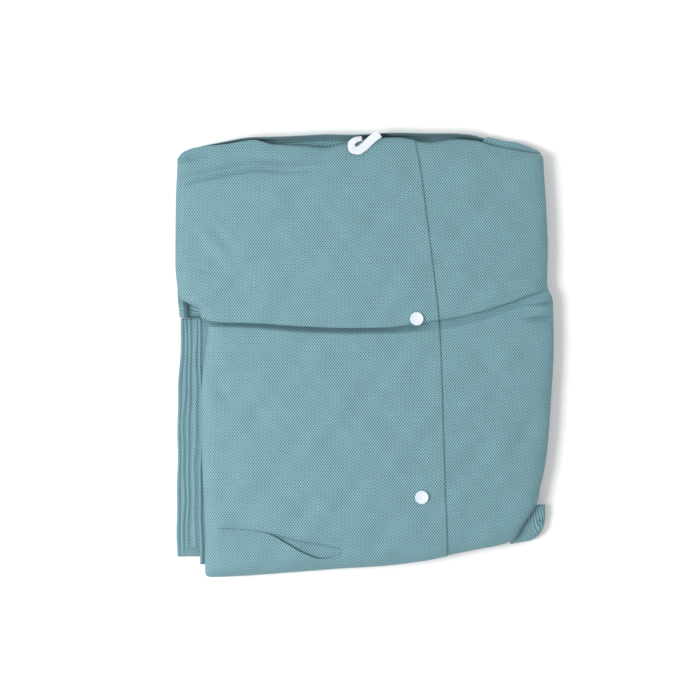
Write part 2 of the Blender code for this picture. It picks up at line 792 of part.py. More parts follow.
def side_stations(edge):
    """Stations of a turned side, straight across from its outer edge."""
    outer_x = curve_of(edge, "y", "x")
    low = edge[0].y
    high = edge[-1].y
    stations = []
    for k in range(SIDE_FOLD_ROWS + 1):
        y = low + (high - low) * k / SIDE_FOLD_ROWS
        stations.append(BandPoint(SIDE_FOLDS_INNER_X, y, outer_x(y), y))
    return stations


def make_side_folds(cloth):
    """The turned sides at the lower left, the back lowest, then the sleeve, then the front."""
    for fold in SIDE_FOLDS:
        stations = side_stations(fold.edge)
        tuck = stations[0].inner_x - stations[0].outer_x - SIDE_FOLD_GAP
        make_fold(fold.name, stations, fold.low, fold.high, tuck, cloth, SIDE_FOLD_WALL)


def make_left_sleeve_fold(cloth):
    stations = smoothed_stations(LEFT_SLEEVE, 2)
    make_fold("left_sleeve_fold", stations, LEFT_SLEEVE_LOW, LEFT_SLEEVE_HIGH, LEFT_SLEEVE_TUCK, cloth, CLOTH_WALL)


def smoothed_stations(rows, spans):
    """The rows with more between them, on smooth curves through each column."""
    curves = []
    for column in BandPoint._fields:
        curves.append(Curve([(k, getattr(row, column)) for k, row in enumerate(rows)]))
    count = (len(rows) - 1) * spans
    return [BandPoint(*(curve(k / spans) for curve in curves)) for k in range(count + 1)]


def make_back_neck_fold(cloth):
    """The back panel's edge, which stands up behind the fronts' top fold."""
    columns = BACK_NECK_COLUMNS
    outer = []
    inner = []
    for k in range(BACK_NECK_ROWS + 1):
        up = k / BACK_NECK_ROWS
        z = BACK_NECK_LOW + (BACK_NECK_HIGH - BACK_NECK_LOW) * up
        lean = BACK_NECK_LEAN * (1.0 - up) ** 2
        for i in range(columns + 1):
            x = BACK_NECK_LEFT + (BACK_NECK_RIGHT - BACK_NECK_LEFT) * i / columns
            drop = BACK_NECK_END_DROP * (2.0 * i / columns - 1.0) ** 6 * up
            y = behind_top_y(x) - lean
            outer.append(Vector((x, y, z - drop)))
            inner.append(Vector((x, y - CLOTH_WALL, z - drop)))
    faces = band_faces(BACK_NECK_ROWS + 1, columns + 1)
    wall_mesh("back_neck_fold", outer, inner, faces).data.materials.append(cloth)


def pocket_sheet(depth):
    """One surface of the pocket: from under the foot end up to its mouth."""
    outline = face_outline(depth)
    steps = rim_steps(outline.corner)
    rows = []
    for step in steps:
        rows.append(lambda x, step=step: outline.bottom(x) + step)
    for k in range(1, POCKET_SPANS + 1):
        share = k / POCKET_SPANS
        rows.append(
            lambda x, share=share: (outline.bottom(x) + outline.corner) * (1.0 - share)
            + max(pocket_mouth_y(x), outline.bottom(x) + outline.corner + 1.0) * share
        )
    points = []
    for place in rows:
        for i in range(POCKET_COLUMNS + 1):
            x = POCKET_LEFT + (POCKET_RIGHT - POCKET_LEFT) * i / POCKET_COLUMNS
            points.append(face_point(x, place(x), depth, outline))
    first_ring = points[: POCKET_COLUMNS + 1]
    noses = [nose_points(point, depth, outline, NOSE_TUCK) for point in first_ring]
    under = []
    for k in reversed(range(len(NOSE_ANGLES))):
        under += [nose[k] for nose in noses]
    return under + points


def make_hip_pocket(cloth):
    outer = pocket_sheet(-POCKET_LIFT - CLOTH_WALL)
    inner = pocket_sheet(-POCKET_LIFT)
    rows = len(outer) // (POCKET_COLUMNS + 1)
    wall_mesh("hip_pocket", outer, inner, band_faces(rows, POCKET_COLUMNS + 1)).data.materials.append(cloth)


def make_snap(name, place, plastic):
    """A snap's cap: a shallow dish inside a raised rim, turned about its own axis."""
    radius = 0.5 * SNAP_DIAMETER
    profile = (
        (0.0, 0.0),
        (radius - SNAP_RIM_CHAMFER, 0.0),
        (radius, SNAP_RIM_CHAMFER),
        (radius, SNAP_HEIGHT - SNAP_RIM_CHAMFER),
        (radius - 0.4 * SNAP_RIM_WIDTH, SNAP_HEIGHT - 0.1),
        (radius - SNAP_RIM_WIDTH, SNAP_HEIGHT),
        (radius - 1.6 * SNAP_RIM_WIDTH, SNAP_HEIGHT - 0.7 * SNAP_DISH),
        (0.0, SNAP_HEIGHT - SNAP_DISH),
    )
    mesh = bmesh.new()
    verts = [mesh.verts.new((r * MM, 0.0, z * MM)) for r, z in profile]
    edges = [mesh.edges.new(pair) for pair in zip(verts, verts[1:])]
    bmesh.ops.spin(
        mesh,
        geom=verts + edges,
        axis=(0.0, 0.0, 1.0),
        cent=(0.0, 0.0, 0.0),
        angle=math.tau,
        steps=SNAP_SEGMENTS,
        use_merge=True,
    )
    bmesh.ops.remove_doubles(mesh, verts=mesh.verts[:], dist=1e-6)
    cap = finished(mesh, name)
    cap.data.materials.append(plastic)
    cap.location = Vector((place.x, place.y, seat_height(place, radius) + SEAM_GAP)) * MM
    return cap


def seat_height(place, radius):
    """The highest that the right front's face reaches under a disc."""
    highest = 0.0
    for k in range(SEAT_SAMPLES):
        turn = math.tau * k / SEAT_SAMPLES
        x = place.x + radius * math.cos(turn)
        y = place.y + radius * math.sin(turn)
        highest = max(highest, face_height(x, y))
    return highest


def make_neck_tape(tape):
    """The hanging loop's tape, lying in a curl over the top fold."""
    outline = face_outline(0.0)
    count = TAPE_SPANS * (len(NECK_TAPE) - 1)
    curves = {}
    for column in TapePoint._fields:
        curves[column] = Curve([(k, getattr(row, column)) for k, row in enumerate(NECK_TAPE)])
    lower = []
    upper = []
    for k in range(count + 1):
        at = k / TAPE_SPANS
        here = Vector((curves["x"](at), curves["y"](at)))
        ahead = Vector((curves["x"](at + 0.05), curves["y"](at + 0.05)))
        behind = Vector((curves["x"](at - 0.05), curves["y"](at - 0.05)))
        way = (ahead - behind).normalized()
        across = Vector((-way.y, way.x)) * (0.5 * curves["width"](at))
        for side in TAPE_SIDES:
            x = here.x + across.x * side
            y = here.y + across.y * side
            low = tape_height(x, y, outline) + curves["lift"](at)
            lower.append(Vector((x, y, low)))
            upper.append(Vector((x, y, low + TAPE_WALL)))
    wall_mesh("neck_tape", upper, lower, band_faces(count + 1, len(TAPE_SIDES))).data.materials.append(tape)


def tape_height(x, y, outline):
    """Height that the tape rests at: the face, or a level line past the face's edge."""
    inside_y = min(y, outline.top(x) - TAPE_LEVEL_EDGE)
    return face_point(x, inside_y, 0.0, outline).z


def clear_scene():
    for old in list(bpy.data.objects):
        bpy.data.objects.remove(old, do_unlink=True)


def main():
    clear_scene()
    cloth = material("spunbond_teal", TEAL, 0.75)
    shaded = material("spunbond_teal_inside", TEAL_SHADE, 0.8)
    tape = material("woven_white_tape", WHITE_TAPE, 0.7)
    plastic = material("white_snap_plastic", WHITE_PLASTIC, 0.35)
    make_folded_layers(shaded)
    make_fronts(cloth)
    make_side_folds(cloth)
    make_left_sleeve_fold(cloth)
    make_back_neck_fold(shaded)
    make_hip_pocket(cloth)
    make_snap("snap_cap_upper", UPPER_SNAP, plastic)
    make_snap("snap_cap_lower", LOWER_SNAP, plastic)
    make_neck_tape(tape)


main()
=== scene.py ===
"""The looks of a disposable lab coat that lies folded in a flat packet, face up.

Each cloth piece is a thin shell on the form of its solid. The shells share one plan of
rows and columns, so that the layers stay parallel, and their soft folds are placed by
the tables below. X runs to the right of the packet, Y to its neck end and Z up. Lengths
are in millimetres until a mesh is made.
"""

import math
from collections import namedtuple

import bmesh
import bpy
import numpy as np
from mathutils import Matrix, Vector


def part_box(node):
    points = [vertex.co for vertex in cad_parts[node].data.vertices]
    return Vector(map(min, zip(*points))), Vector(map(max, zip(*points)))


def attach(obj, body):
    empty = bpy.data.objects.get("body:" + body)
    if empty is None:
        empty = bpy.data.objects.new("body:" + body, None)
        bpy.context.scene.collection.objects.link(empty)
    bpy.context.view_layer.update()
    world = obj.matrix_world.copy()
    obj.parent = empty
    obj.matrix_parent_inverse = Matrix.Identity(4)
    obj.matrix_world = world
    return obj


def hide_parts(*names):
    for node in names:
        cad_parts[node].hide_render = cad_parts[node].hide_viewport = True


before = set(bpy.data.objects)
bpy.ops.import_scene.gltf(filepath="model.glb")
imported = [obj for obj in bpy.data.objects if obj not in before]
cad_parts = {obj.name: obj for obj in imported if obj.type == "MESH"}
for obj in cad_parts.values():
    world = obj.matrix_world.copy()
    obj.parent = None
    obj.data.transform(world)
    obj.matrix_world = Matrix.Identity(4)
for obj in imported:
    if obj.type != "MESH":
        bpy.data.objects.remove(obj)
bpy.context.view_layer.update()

bl_info = {
    "name": "Folded disposable lab coat",
    "version": (1, 0, 0),
    "blender": (4, 5, 0),
    "location": "3D View > Sidebar > Lab coat",
    "description": "Builds the cloth, tape, snaps and stage of a folded lab coat",
    "category": "Add Mesh",
}

MM = 0.001

# Forms of the face and its rim, which the solids share
FACE_EDGE_HEIGHT = 21.0
UPPER_CROWN = 6.5
LOWER_CROWN = 6.0
UPPER_CROWN_Y = 112.0
LOWER_CROWN_Y = -88.0
UPPER_HALF_LENGTH = 90.0
LOWER_HALF_LENGTH = 122.0
CROWN_HALF_WIDTH = 180.0
CROWN_POWER = 2.6
RIM_WIDTH = 14.0
RIM_HEIGHT = 15.5
RIM_POWER = 2.2
CORNER_POWER = 6.0
NOSE_RADIUS = 3.6
NOSE_TUCK = 2.5
CORE_TUCK = 3.6
DEEPEST = 4.0
MOST_SLANT = 2.0
STEP_RUN_OUT = 60.0
PLY_STEP = 0.75
CORE_DEPTH = 3.3
CREASE_CORE_GAP = 3.0
CREASE_RISE = 0.42
STEP_LEVEL = 4.0
SLANT_REACH = 2.0

# Shares that shape the crease: how its sides run down, and where its lip is pulled over it or gives way
CREASE_BELOW_RUN = 1.6
CREASE_ABOVE_RUN = 1.25
CREASE_CORE_OFFSET = 0.3
LIP_PULL = 0.7
LIP_PULL_WIDTH = 0.6
LIP_GIVE_OFFSET = 1.35
LIP_GIVE_WIDTH = 1.3
LIP_RIM_FADE = 1.5


def table(columns, *rows):
    """Rows of values under named columns."""
    row_kind = namedtuple("Row", columns)
    return tuple(row_kind(*row) for row in rows)


# Outline of the face, seen from above
FACE_BOTTOM = table(
    "x y",
    (-148.0, -206.2), (-118.0, -205.2), (-70.0, -201.8), (-22.0, -198.2), (14.0, -196.0),
    (53.0, -191.5), (76.0, -187.0), (104.0, -181.0), (127.0, -176.0), (138.0, -171.0),
    (145.0, -160.0), (156.0, -144.0), (162.0, -136.0),
)
FACE_TOP = table(
    "x y",
    (-173.0, 184.5), (-166.0, 188.0), (-158.0, 190.8), (-127.0, 194.6), (-102.0, 198.2),
    (-84.0, 194.0), (-55.0, 192.5), (-37.0, 191.0), (-19.0, 194.5), (1.0, 199.0), (30.0, 200.5),
    (60.0, 196.5), (84.0, 199.0), (104.0, 197.0), (118.0, 192.6), (130.0, 190.2), (165.0, 185.0),
)
FACE_LEFT = table(
    "x y",
    (-147.5, -206.0), (-147.0, -175.0), (-150.5, -88.0), (-151.0, -42.0), (-146.0, 13.0),
    (-144.5, 28.0), (-150.5, 33.0), (-152.5, 41.0), (-167.5, 50.0), (-172.5, 59.0), (-174.9, 85.0),
    (-174.5, 140.0), (-173.0, 182.0),
)
FACE_RIGHT = table(
    "x y",
    (160.5, -150.0), (162.0, -125.0), (165.0, -114.0), (169.5, -83.0), (172.0, -50.0),
    (174.9, 10.0), (174.2, 49.0), (168.8, 65.0), (169.5, 97.0), (168.5, 128.0), (165.5, 185.0),
)
OVERLAP_EDGE = table(
    "x y",
    (46.5, 205.0), (51.5, 170.0), (57.0, 128.0), (63.0, 80.5), (69.0, 27.0), (70.5, -5.0),
    (73.0, -88.0), (74.5, -132.0), (76.5, -187.0),
)

# The crease is an open gap under a lip at the left, and a soft valley at the right
CREASE = table(
    "x y depth half_width lip",
    (-148.0, 28.7, 8.0, 4.0, 5.0),
    (-128.0, 28.0, 9.6, 4.0, 6.4),
    (-100.0, 27.0, 10.8, 4.3, 6.4),
    (-57.0, 24.0, 11.4, 4.6, 6.6),
    (-14.0, 22.5, 11.4, 4.6, 6.6),
    (20.0, 22.8, 10.0, 4.5, 6.0),
    (48.0, 25.5, 6.8, 4.6, 4.0),
    (70.0, 28.0, 4.6, 4.8, 2.2),
    (92.0, 32.0, 4.8, 4.6, 2.2),
    (114.0, 38.0, 5.0, 4.6, 2.2),
    (138.0, 46.0, 5.2, 4.4, 2.0),
    (155.0, 52.0, 4.4, 4.6, 1.1),
    (174.0, 57.0, 3.6, 4.4, 0.6),
)

# Past this line the face bends down to its top fold
TOP_FOLD = table(
    "x y drop groove",
    (-172.0, 157.0, 3.2, 1.2),
    (-150.5, 161.2, 5.2, 4.2),
    (-118.3, 167.6, 5.4, 4.8),
    (-95.8, 170.4, 5.2, 4.6),
    (-76.9, 168.5, 4.4, 3.6),
    (-45.0, 170.0, 3.0, 1.2),
    (0.0, 178.0, 1.2, 0.0),
    (60.0, 180.0, 0.8, 0.0),
    (165.0, 174.0, 1.4, 0.2),
)
TOP_FOLD_RUN = 11.0
TOP_GROOVE_WIDTH = 1.7

# Outline of the layers behind the top fold
BEHIND_TOP = table(
    "x y",
    (-174.0, 183.0), (-158.0, 193.0), (-137.0, 195.5), (-127.0, 197.0), (-102.0, 200.5),
    (-69.0, 201.5), (-36.0, 203.2), (-15.0, 202.5), (30.0, 204.6), (60.0, 204.2), (96.0, 204.0),
    (112.0, 202.8), (128.0, 199.0), (140.0, 197.5), (152.0, 193.5), (166.0, 188.5),
)

# Left edge of the hidden layers, past the top of the turned sides
BEHIND_LEFT = table("x y", (-172.4, 34.0), (-174.2, 60.0), *FACE_LEFT[-3:])
BEHIND_LEFT_START = 31.8
BEHIND_LEFT_RUN = 1.6

# The recess at the left end of the crease is sunk into the hidden layers
RECESS_TOP_Y = 50.0
RECESS_DEPTH = 8.5
RECESS_RINGS = (7.0, 4.6)
RECESS_BOTTOM_RUN = 1.5
RECESS_TOP_RUN = 3.0

# The back panel's edge stands up there
BACK_NECK_LEFT = -158.0
BACK_NECK_RIGHT = 112.0
BACK_NECK_LOW = 4.6
BACK_NECK_HIGH = 17.4
BACK_NECK_LEAN = 2.2
BACK_NECK_SWAY = 0.35
BACK_NECK_UNEVENNESS = 0.6
BACK_NECK_END_SETBACK = 3.5
BACK_NECK_END_DROP = 6.0
BACK_NECK_COLUMNS = 181
BACK_NECK_ROWS = 15

# Hidden layers: heights, insets from the outline, and the plies that show at their edges
LEAVES = table(
    "low high left right bottom top plies start",
    (7.9, 11.4, 3.0, 1.2, 5.0, 0.6, 3, 0.4),
    (4.2, 7.6, 0.6, 3.0, 2.5, 3.3, 2, 2.1),
    (0.0, 3.9, 2.0, 0.0, 6.5, 2.0, 3, 4.7),
)
UPPER_LEAF_TOP_INSET = 3.0
FACE_GROOVE = 8.2
FACE_GROOVE_HEIGHT = 11.5
LEAF_GROOVE = 4.5
LEAF_CORNER = 10.0
LEAF_LIFT = 0.1
LEAF_TOP_INSET = 0.4
LOWEST_LEAF_TOP_INSET = -0.9
LEAF_RIGHT_INSET = 0.5
LEAF_RUN = 10.0
NECK_END_REACH = 8.0
UNDERSIDE_INSET = 3.0

# A ply's rounded edge: shares of its height from the top, and insets as shares of the groove between plies
PLY_EDGE = table("drop inset", (0.02, 1.3), (0.2, 0.4), (0.5, 0.0), (0.8, 0.4), (0.98, 1.3))
PLY_GROOVE = 0.9
PLY_STAGGER = 0.5

# How the folded edges stray from their curves
EDGE_UNEVENNESS = 0.5
WOBBLES = table("height length turn", (1.0, 19.0, 1.0), (0.6, 7.7, 2.3))

# The turned sides at the lower left
SIDE_FOLDS_INNER_X = -136.0
SIDE_FOLDS_TOP_Y = 32.0
CORE_LOWER_LEFT = -134.5
BACK_SIDE = table(
    "x y",
    (-174.5, -188.6), (-174.9, -120.0), (-173.6, -42.0), (-171.5, SIDE_FOLDS_TOP_Y),
)
RIGHT_SLEEVE_SIDE = table(
    "x y",
    (-166.5, -180.6), (-165.5, -110.0), (-165.0, -38.0), (-163.5, SIDE_FOLDS_TOP_Y),
)
FRONT_SIDE = table(
    "x y",
    (-153.0, -194.9), (-153.5, -120.0), (-153.2, -42.0), (-154.5, SIDE_FOLDS_TOP_Y),
)
SIDE_FOLDS = table(
    "name edge low high start line",
    ("back_side_fold", BACK_SIDE, 0.3, 3.7, 0.7, 4.0),
    ("right_sleeve_fold", RIGHT_SLEEVE_SIDE, 4.05, 7.35, 2.9, 6.2),
    ("front_side_fold", FRONT_SIDE, 7.7, 10.9, 5.3, 30.0),
)
SIDE_FOLD_GAP = 4.0
SIDE_FOLD_RUN_IN = 1.4
SIDE_FOLD_WOBBLE = 0.9
SIDE_FOLD_SECTIONS = 131
SIDE_PLY_DIP = 1.3
SIDE_DIP_RUN = 2.5
SIDE_LINE_WOBBLE = 1.6
SIDE_LINE_WIDTH = 0.9
SIDE_LINE_BELOW = 0.2
NOSE_RUN = 1.7
TOP_PLY_STEPS = 26
TOP_PLY_EASING = 1.8
FOLD_NOSE_SECTIONS = 13

# The left sleeve's fold, round the bottom right corner
LEFT_SLEEVE = table(
    "inner_x inner_y outer_x outer_y",
    (157.0, -140.0, 167.9, -140.0),
    (155.5, -142.5, 168.1, -146.0),
    (153.0, -145.5, 168.0, -152.0),
    (150.5, -148.5, 166.6, -159.5),
    (147.5, -151.0, 162.5, -167.0),
    (143.0, -157.0, 155.0, -172.5),
    (138.0, -163.0, 146.0, -174.5),
    (132.0, -167.0, 136.0, -176.5),
)
LEFT_SLEEVE_HIGH = 11.4
LEFT_SLEEVE_LOW = 4.8
LEFT_SLEEVE_TUCK = 3.5
LEFT_SLEEVE_SECTIONS = 71
LEFT_SLEEVE_STEPS = 6
SLEEVE_TAB_X = 160.5
SLEEVE_TAB_Y = -155.0
SLEEVE_TAB_RUN = 3.5
SLEEVE_TAB_WIDTH = 1.1
SLEEVE_TAB_DEPTH = 2.6
SLEEVE_WAVE_HEIGHT = 0.14
SLEEVE_WAVE_LENGTH = 0.9
SLEEVE_WAVE_FADE = 6.1
CORE_SLEEVE_CORNER_X = 150.5
CORE_SLEEVE_CORNER_Y = -143.0

# The pocket, with the front's fold above its sagging mouth
POCKET_LEFT = -139.0
POCKET_RIGHT = -19.0
POCKET_MOUTH = table(
    "x y",
    (-139.0, -160.0), (-110.0, -161.5), (-90.0, -164.5), (-72.0, -174.0), (-56.0, -183.0),
    (-40.0, -188.2), (-28.0, -186.5), (-19.0, -179.5),
)
MOUTH_FOLD = table(
    "x y",
    (-96.0, -161.5), (-89.8, -162.9), (-70.5, -168.5), (-54.8, -172.4), (-39.2, -174.6),
    (-18.0, -178.9),
)
MOUTH_DEPTH = 2.4
MOUTH_EDGE = 0.8
MOUTH_EDGE_OFFSET = 1.0
MOUTH_EDGE_WIDTH = 1.4
MOUTH_FOLD_RUN = 1.2
MOUTH_HIDDEN_REACH = 14.0
MOUTH_HIDDEN_RUN = 8.0
MOUTH_LEFT_RUN = 22.0
MOUTH_RIGHT_RUN = 8.0
POCKET_LIFT = 0.6
POCKET_SIDE_LIFT = -0.3
POCKET_SIDE_RUN = 5.0
POCKET_HEM = 0.5
POCKET_HEM_WIDTH = 2.2
POCKET_FOOT_RUN = 4.0
POCKET_LEAST_HEIGHT = 2.0
POCKET_RIM_SHARE = 0.6

# The curled tape at the neck
NECK_TAPE = table(
    "x y width lift",
    (13.6, 203.1, 8.0, 1.6),
    (6.5, 197.6, 8.0, 1.4),
    (-0.8, 190.6, 8.0, 0.9),
    (-6.0, 187.4, 7.8, 0.9),
    (-11.0, 188.6, 7.4, 1.2),
    (-12.2, 193.0, 6.6, 2.0),
    (-8.4, 197.0, 5.4, 2.6),
    (-2.6, 198.6, 4.0, 2.4),
)
TAPE_SECTIONS = 85
TAPE_WIDTH_POINTS = 13
TAPE_RISE = 1.0
TAPE_EDGE_DROP = 0.33
TAPE_LEVEL_SHARE = 0.45
TAPE_WALL = 0.7

# Soft troughs and ridges of the face, from one point to another
SOFT_FOLDS = table(
    "x y end_x end_y bend width height",
    (-163.4, 83.9, -126.1, 72.9, -2.0, 1.5, -1.1),
    (-166.0, 88.0, -128.0, 76.5, -2.0, 3.5, 0.5),
    (-146.0, 121.0, -113.0, 83.0, 3.0, 4.5, -0.9),
    (-153.0, 114.0, -121.0, 78.0, 3.0, 5.0, 0.6),
    (-160.0, 150.0, -96.0, 132.0, 6.0, 7.0, -0.6),
    (-143.0, 42.0, -97.0, 70.0, 4.0, 6.0, -0.8),
    (-70.0, 160.0, -38.0, 96.0, -6.0, 9.0, -0.5),
    (18.0, 186.0, 6.0, 118.0, 4.0, 9.0, -0.6),
    (28.0, 60.0, -30.0, 42.0, -4.0, 6.0, -0.7),
    (118.0, 178.0, 142.0, 112.0, 5.0, 8.0, -0.6),
    (166.0, 104.0, 112.0, 76.0, -5.0, 6.0, -0.6),
    (170.0, 65.0, 84.0, 43.0, -3.0, 5.0, 1.6),
    (190.0, 47.4, 144.0, 46.6, 0.5, 1.5, -5.0),
    (190.0, 32.6, 140.0, 31.2, -0.8, 1.8, -5.0),
    (-190.0, 175.5, -136.0, 187.0, -0.8, 1.5, -5.0),
    (-176.0, 176.5, -150.0, 180.0, 1.0, 2.2, 0.9),
    (114.0, 188.5, 168.0, 180.0, 0.5, 1.8, -1.4),
    (-143.0, 8.0, -118.0, -62.0, -5.0, 7.0, -0.7),
    (-66.0, 12.0, -42.0, -36.0, 4.0, 8.0, -0.5),
    (4.0, 10.0, 30.0, -52.0, -5.0, 9.0, -0.5),
    (92.0, 14.0, 132.0, -42.0, 5.0, 8.0, -0.6),
    (160.0, -24.0, 126.0, -112.0, 6.0, 8.0, -0.7),
    (154.0, -142.0, 112.0, -118.0, -3.0, 5.0, -0.7),
    (104.0, -176.0, 92.0, -128.0, 3.0, 7.0, -0.6),
    (36.0, -190.0, 2.0, -140.0, -4.0, 8.0, -0.6),
    (-142.0, -140.0, -70.0, -152.0, -4.0, 5.0, -0.6),
    (-136.0, -192.0, -62.0, -194.0, 2.0, 3.5, 0.7),
)
WAVES = table(
    "height across along start",
    (0.28, 61.0, 97.0, 0.6),
    (0.22, -43.0, 71.0, 2.2),
    (0.14, 29.0, -37.0, 4.1),
    (0.09, 19.0, 23.0, 1.3),
)
SOFT_FOLD_FADE_IN = 4.0
SOFT_FOLD_FADE_OUT = 2.0

# The face stays level near the snaps and the tape
LEVEL_SPOTS = table("x y reach", (48.0, 32.6, 14.0), (52.5, -131.3, 14.0), (0.0, 196.0, 26.0))

# The plan that the face's shells share: anchors are 0 and 2 at the ends and 1 at the overlap or crease.
# An offset of 1 or -1 is a whole rim's width, and any other one is a length.
COLUMN_STRETCHES = table(
    "start start_offset end end_offset spans rim",
    (0, 0.0, 0, 1.0, 11, True),
    (0, 1.0, 1, -36.0, 100, False),
    (1, -36.0, 1, 0.0, 22, False),
    (1, 0.0, 2, -1.0, 54, False),
    (2, -1.0, 2, 0.0, 11, True),
)
ROW_STRETCHES = table(
    "start start_offset end end_offset spans rim",
    (0, 0.0, 0, 1.0, 11, True),
    (0, 1.0, 0, 46.0, 30, False),
    (0, 46.0, 1, -20.0, 76, False),
    (1, -20.0, 1, 20.0, 44, False),
    (1, 20.0, 2, -1.0, 92, False),
    (2, -1.0, 2, 0.0, 11, True),
)
OVERLAP_START_COLUMN = sum(stretch.spans for stretch in COLUMN_STRETCHES[:2])
OVERLAP_END_COLUMN = OVERLAP_START_COLUMN + COLUMN_STRETCHES[2].spans
LAST_COLUMN = sum(stretch.spans for stretch in COLUMN_STRETCHES)

# How far the rows of dots of each piece are turned, as a slope
RIGHT_FRONT_TURN = 0.012
LEFT_FRONT_TURN = -0.045
POCKET_TURN = 0.03

# How far in from a sheet's edge its fall round the rim reaches
RIM_REACH = 14.0

# Share of a fold's length that counts in each direction of the cloth
RING_LENGTH_SHARE = 0.7

# The plan's rows start evenly spread and settle in a few passes
PLAN_START_Y = 200.0
SETTLING_PASSES = 6
NOSE_STEPS = 7
TUCK_STEPS = 2


class CoatSizes(bpy.types.PropertyGroup):
    """Sizes of the cloth and its trim."""

    cloth_wall: bpy.props.FloatProperty(
        name="Cloth wall", description="Thickness that the shells are given", default=0.0005, unit="LENGTH"
    )
    dot_spacing: bpy.props.FloatProperty(
        name="Dot spacing", description="Between the embossed dots of a row", default=0.0024, unit="LENGTH"
    )
    row_spacing: bpy.props.FloatProperty(
        name="Row spacing", description="Between the rows of embossed dots", default=0.0016, unit="LENGTH"
    )
    snap_rim: bpy.props.FloatProperty(
        name="Snap rim", description="Width of the raised rim of a cap", default=0.0013, unit="LENGTH"
    )


class CoatColours(bpy.types.PropertyGroup):
    """Colours of the coat, as sRGB hex values."""

    cloth: bpy.props.StringProperty(
        name="Cloth", description="The cloth between its embossed dots", default="75A0A9"
    )
    cloth_dots: bpy.props.StringProperty(
        name="Cloth dots", description="The cloth at its embossed dots", default="233F47"
    )
    tape: bpy.props.StringProperty(
        name="Tape", description="The woven tape of the hanging loop", default="DDE3E9"
    )
    snaps: bpy.props.StringProperty(
        name="Snaps", description="The snaps' moulded caps", default="D3DAE3"
    )
    floor: bpy.props.StringProperty(name="Floor", description="The pale floor", default="F7F7F7")


class Curve:
    """A smooth curve through (place, value) rows. It is level past its ends and never overshoots a row."""

    def __init__(self, rows):
        places, values = zip(*sorted(rows))
        self.places = np.array(places)
        self.values = np.array(values)
        secants = np.diff(self.values) / np.diff(self.places)
        product = secants[:-1] * secants[1:]
        total = np.where(product > 0.0, secants[:-1] + secants[1:], 1.0)
        inner = np.where(product > 0.0, 2.0 * product / total, 0.0)
        self.slopes = np.concatenate(([0.0], inner, [0.0]))

    def __call__(self, at):
        at = np.clip(at, self.places[0], self.places[-1])
        k = np.clip(np.searchsorted(self.places, at, side="right") - 1, 0, len(self.places) - 2)
        run = self.places[k + 1] - self.places[k]
        t = (at - self.places[k]) / run
        start = self.values[k] * (1 + 2 * t) * (1 - t) ** 2
        end = self.values[k + 1] * (3 - 2 * t) * t**2
        leaving = self.slopes[k] * run * t * (1 - t) ** 2
        arriving = self.slopes[k + 1] * run * t**2 * (t - 1)
        return start + end + leaving + arriving


def curve_of(rows, place, value):
    return Curve([(getattr(row, place), getattr(row, value)) for row in rows])


face_left_x = curve_of(FACE_LEFT, "y", "x")
face_right_x = curve_of(FACE_RIGHT, "y", "x")
face_bottom_y = curve_of(FACE_BOTTOM, "x", "y")
face_top_y = curve_of(FACE_TOP, "x", "y")
overlap_x = curve_of(OVERLAP_EDGE, "y", "x")
crease_y = curve_of(CREASE, "x", "y")
crease_depth = curve_of(CREASE, "x", "depth")
crease_half_width = curve_of(CREASE, "x", "half_width")
crease_lip = curve_of(CREASE, "x", "lip")
top_fold_y = curve_of(TOP_FOLD, "x", "y")
top_fold_drop = curve_of(TOP_FOLD, "x", "drop")
top_fold_groove = curve_of(TOP_FOLD, "x", "groove")
behind_top_y = curve_of(BEHIND_TOP, "x", "y")
behind_left_x = curve_of(BEHIND_LEFT, "y", "x")
pocket_mouth_y = curve_of(POCKET_MOUTH, "x", "y")
mouth_fold_y = curve_of(MOUTH_FOLD, "x", "y")


def smooth_step(t):
    t = np.clip(t, 0.0, 1.0)
    return t * t * (3.0 - 2.0 * t)


def bell(t):
    """A soft bump: 1 in its middle and close to nothing from 2 on."""
    return np.exp(-(t**2))


class Outline(namedtuple("Outline", "left right bottom top corner")):
    """The four sides of a layer, seen from above, each a curve, with its corners rounded."""

    def inset(self, x, y):
        """How far points lie into the rounded rim, across X and across Y, and the signs of the way in."""
        from_left = x - self.left(y)
        from_right = self.right(y) - x
        from_bottom = y - self.bottom(x)
        from_top = self.top(x) - y
        across = np.clip(1.0 - np.minimum(from_left, from_right) / self.corner, 0.0, 1.0)
        along = np.clip(1.0 - np.minimum(from_bottom, from_top) / self.corner, 0.0, 1.0)
        to_right = np.where(from_left < from_right, 1.0, -1.0)
        to_top = np.where(from_bottom < from_top, 1.0, -1.0)
        return across, along, to_right, to_top

    def rounded(self, x, y):
        """The points drawn in to the rounded outline, with their places in the rim."""
        across, along, to_right, to_top = self.inset(x, y)
        rim = (across**CORNER_POWER + along**CORNER_POWER) ** (1.0 / CORNER_POWER)
        draw = np.where(rim > 1.0, 1.0 - 1.0 / np.maximum(rim, 1.0), 0.0)
        x = x + to_right * self.corner * across * draw
        y = y + to_top * self.corner * along * draw
        return x, y, np.minimum(rim, 1.0)

    def way_in(self, x, y):
        """Unit directions from points of the outline into the layer."""
        across, along, to_right, to_top = self.inset(x, y)
        way = np.stack((to_right * across**2, to_top * along**2), axis=-1)
        length = np.linalg.norm(way, axis=-1, keepdims=True)
        return way / np.maximum(length, 1e-9)


def slant(curve, at):
    """How much longer the way across a slanted edge is when it is taken straight along X or Y."""
    rise = (curve(at + SLANT_REACH) - curve(at - SLANT_REACH)) / (2.0 * SLANT_REACH)
    return np.minimum(MOST_SLANT, np.hypot(1.0, rise))


def face_outline(depth):
    """Outline of the surface that lies this far inside the face's outer one."""
    return Outline(
        left=lambda y: face_left_x(y) + depth * slant(face_left_x, y),
        right=lambda y: face_right_x(y) - depth * slant(face_right_x, y),
        bottom=lambda x: face_bottom_y(x) + depth * slant(face_bottom_y, x),
        top=lambda x: face_top_y(x) - depth * slant(face_top_y, x),
        corner=RIM_WIDTH - depth,
    )


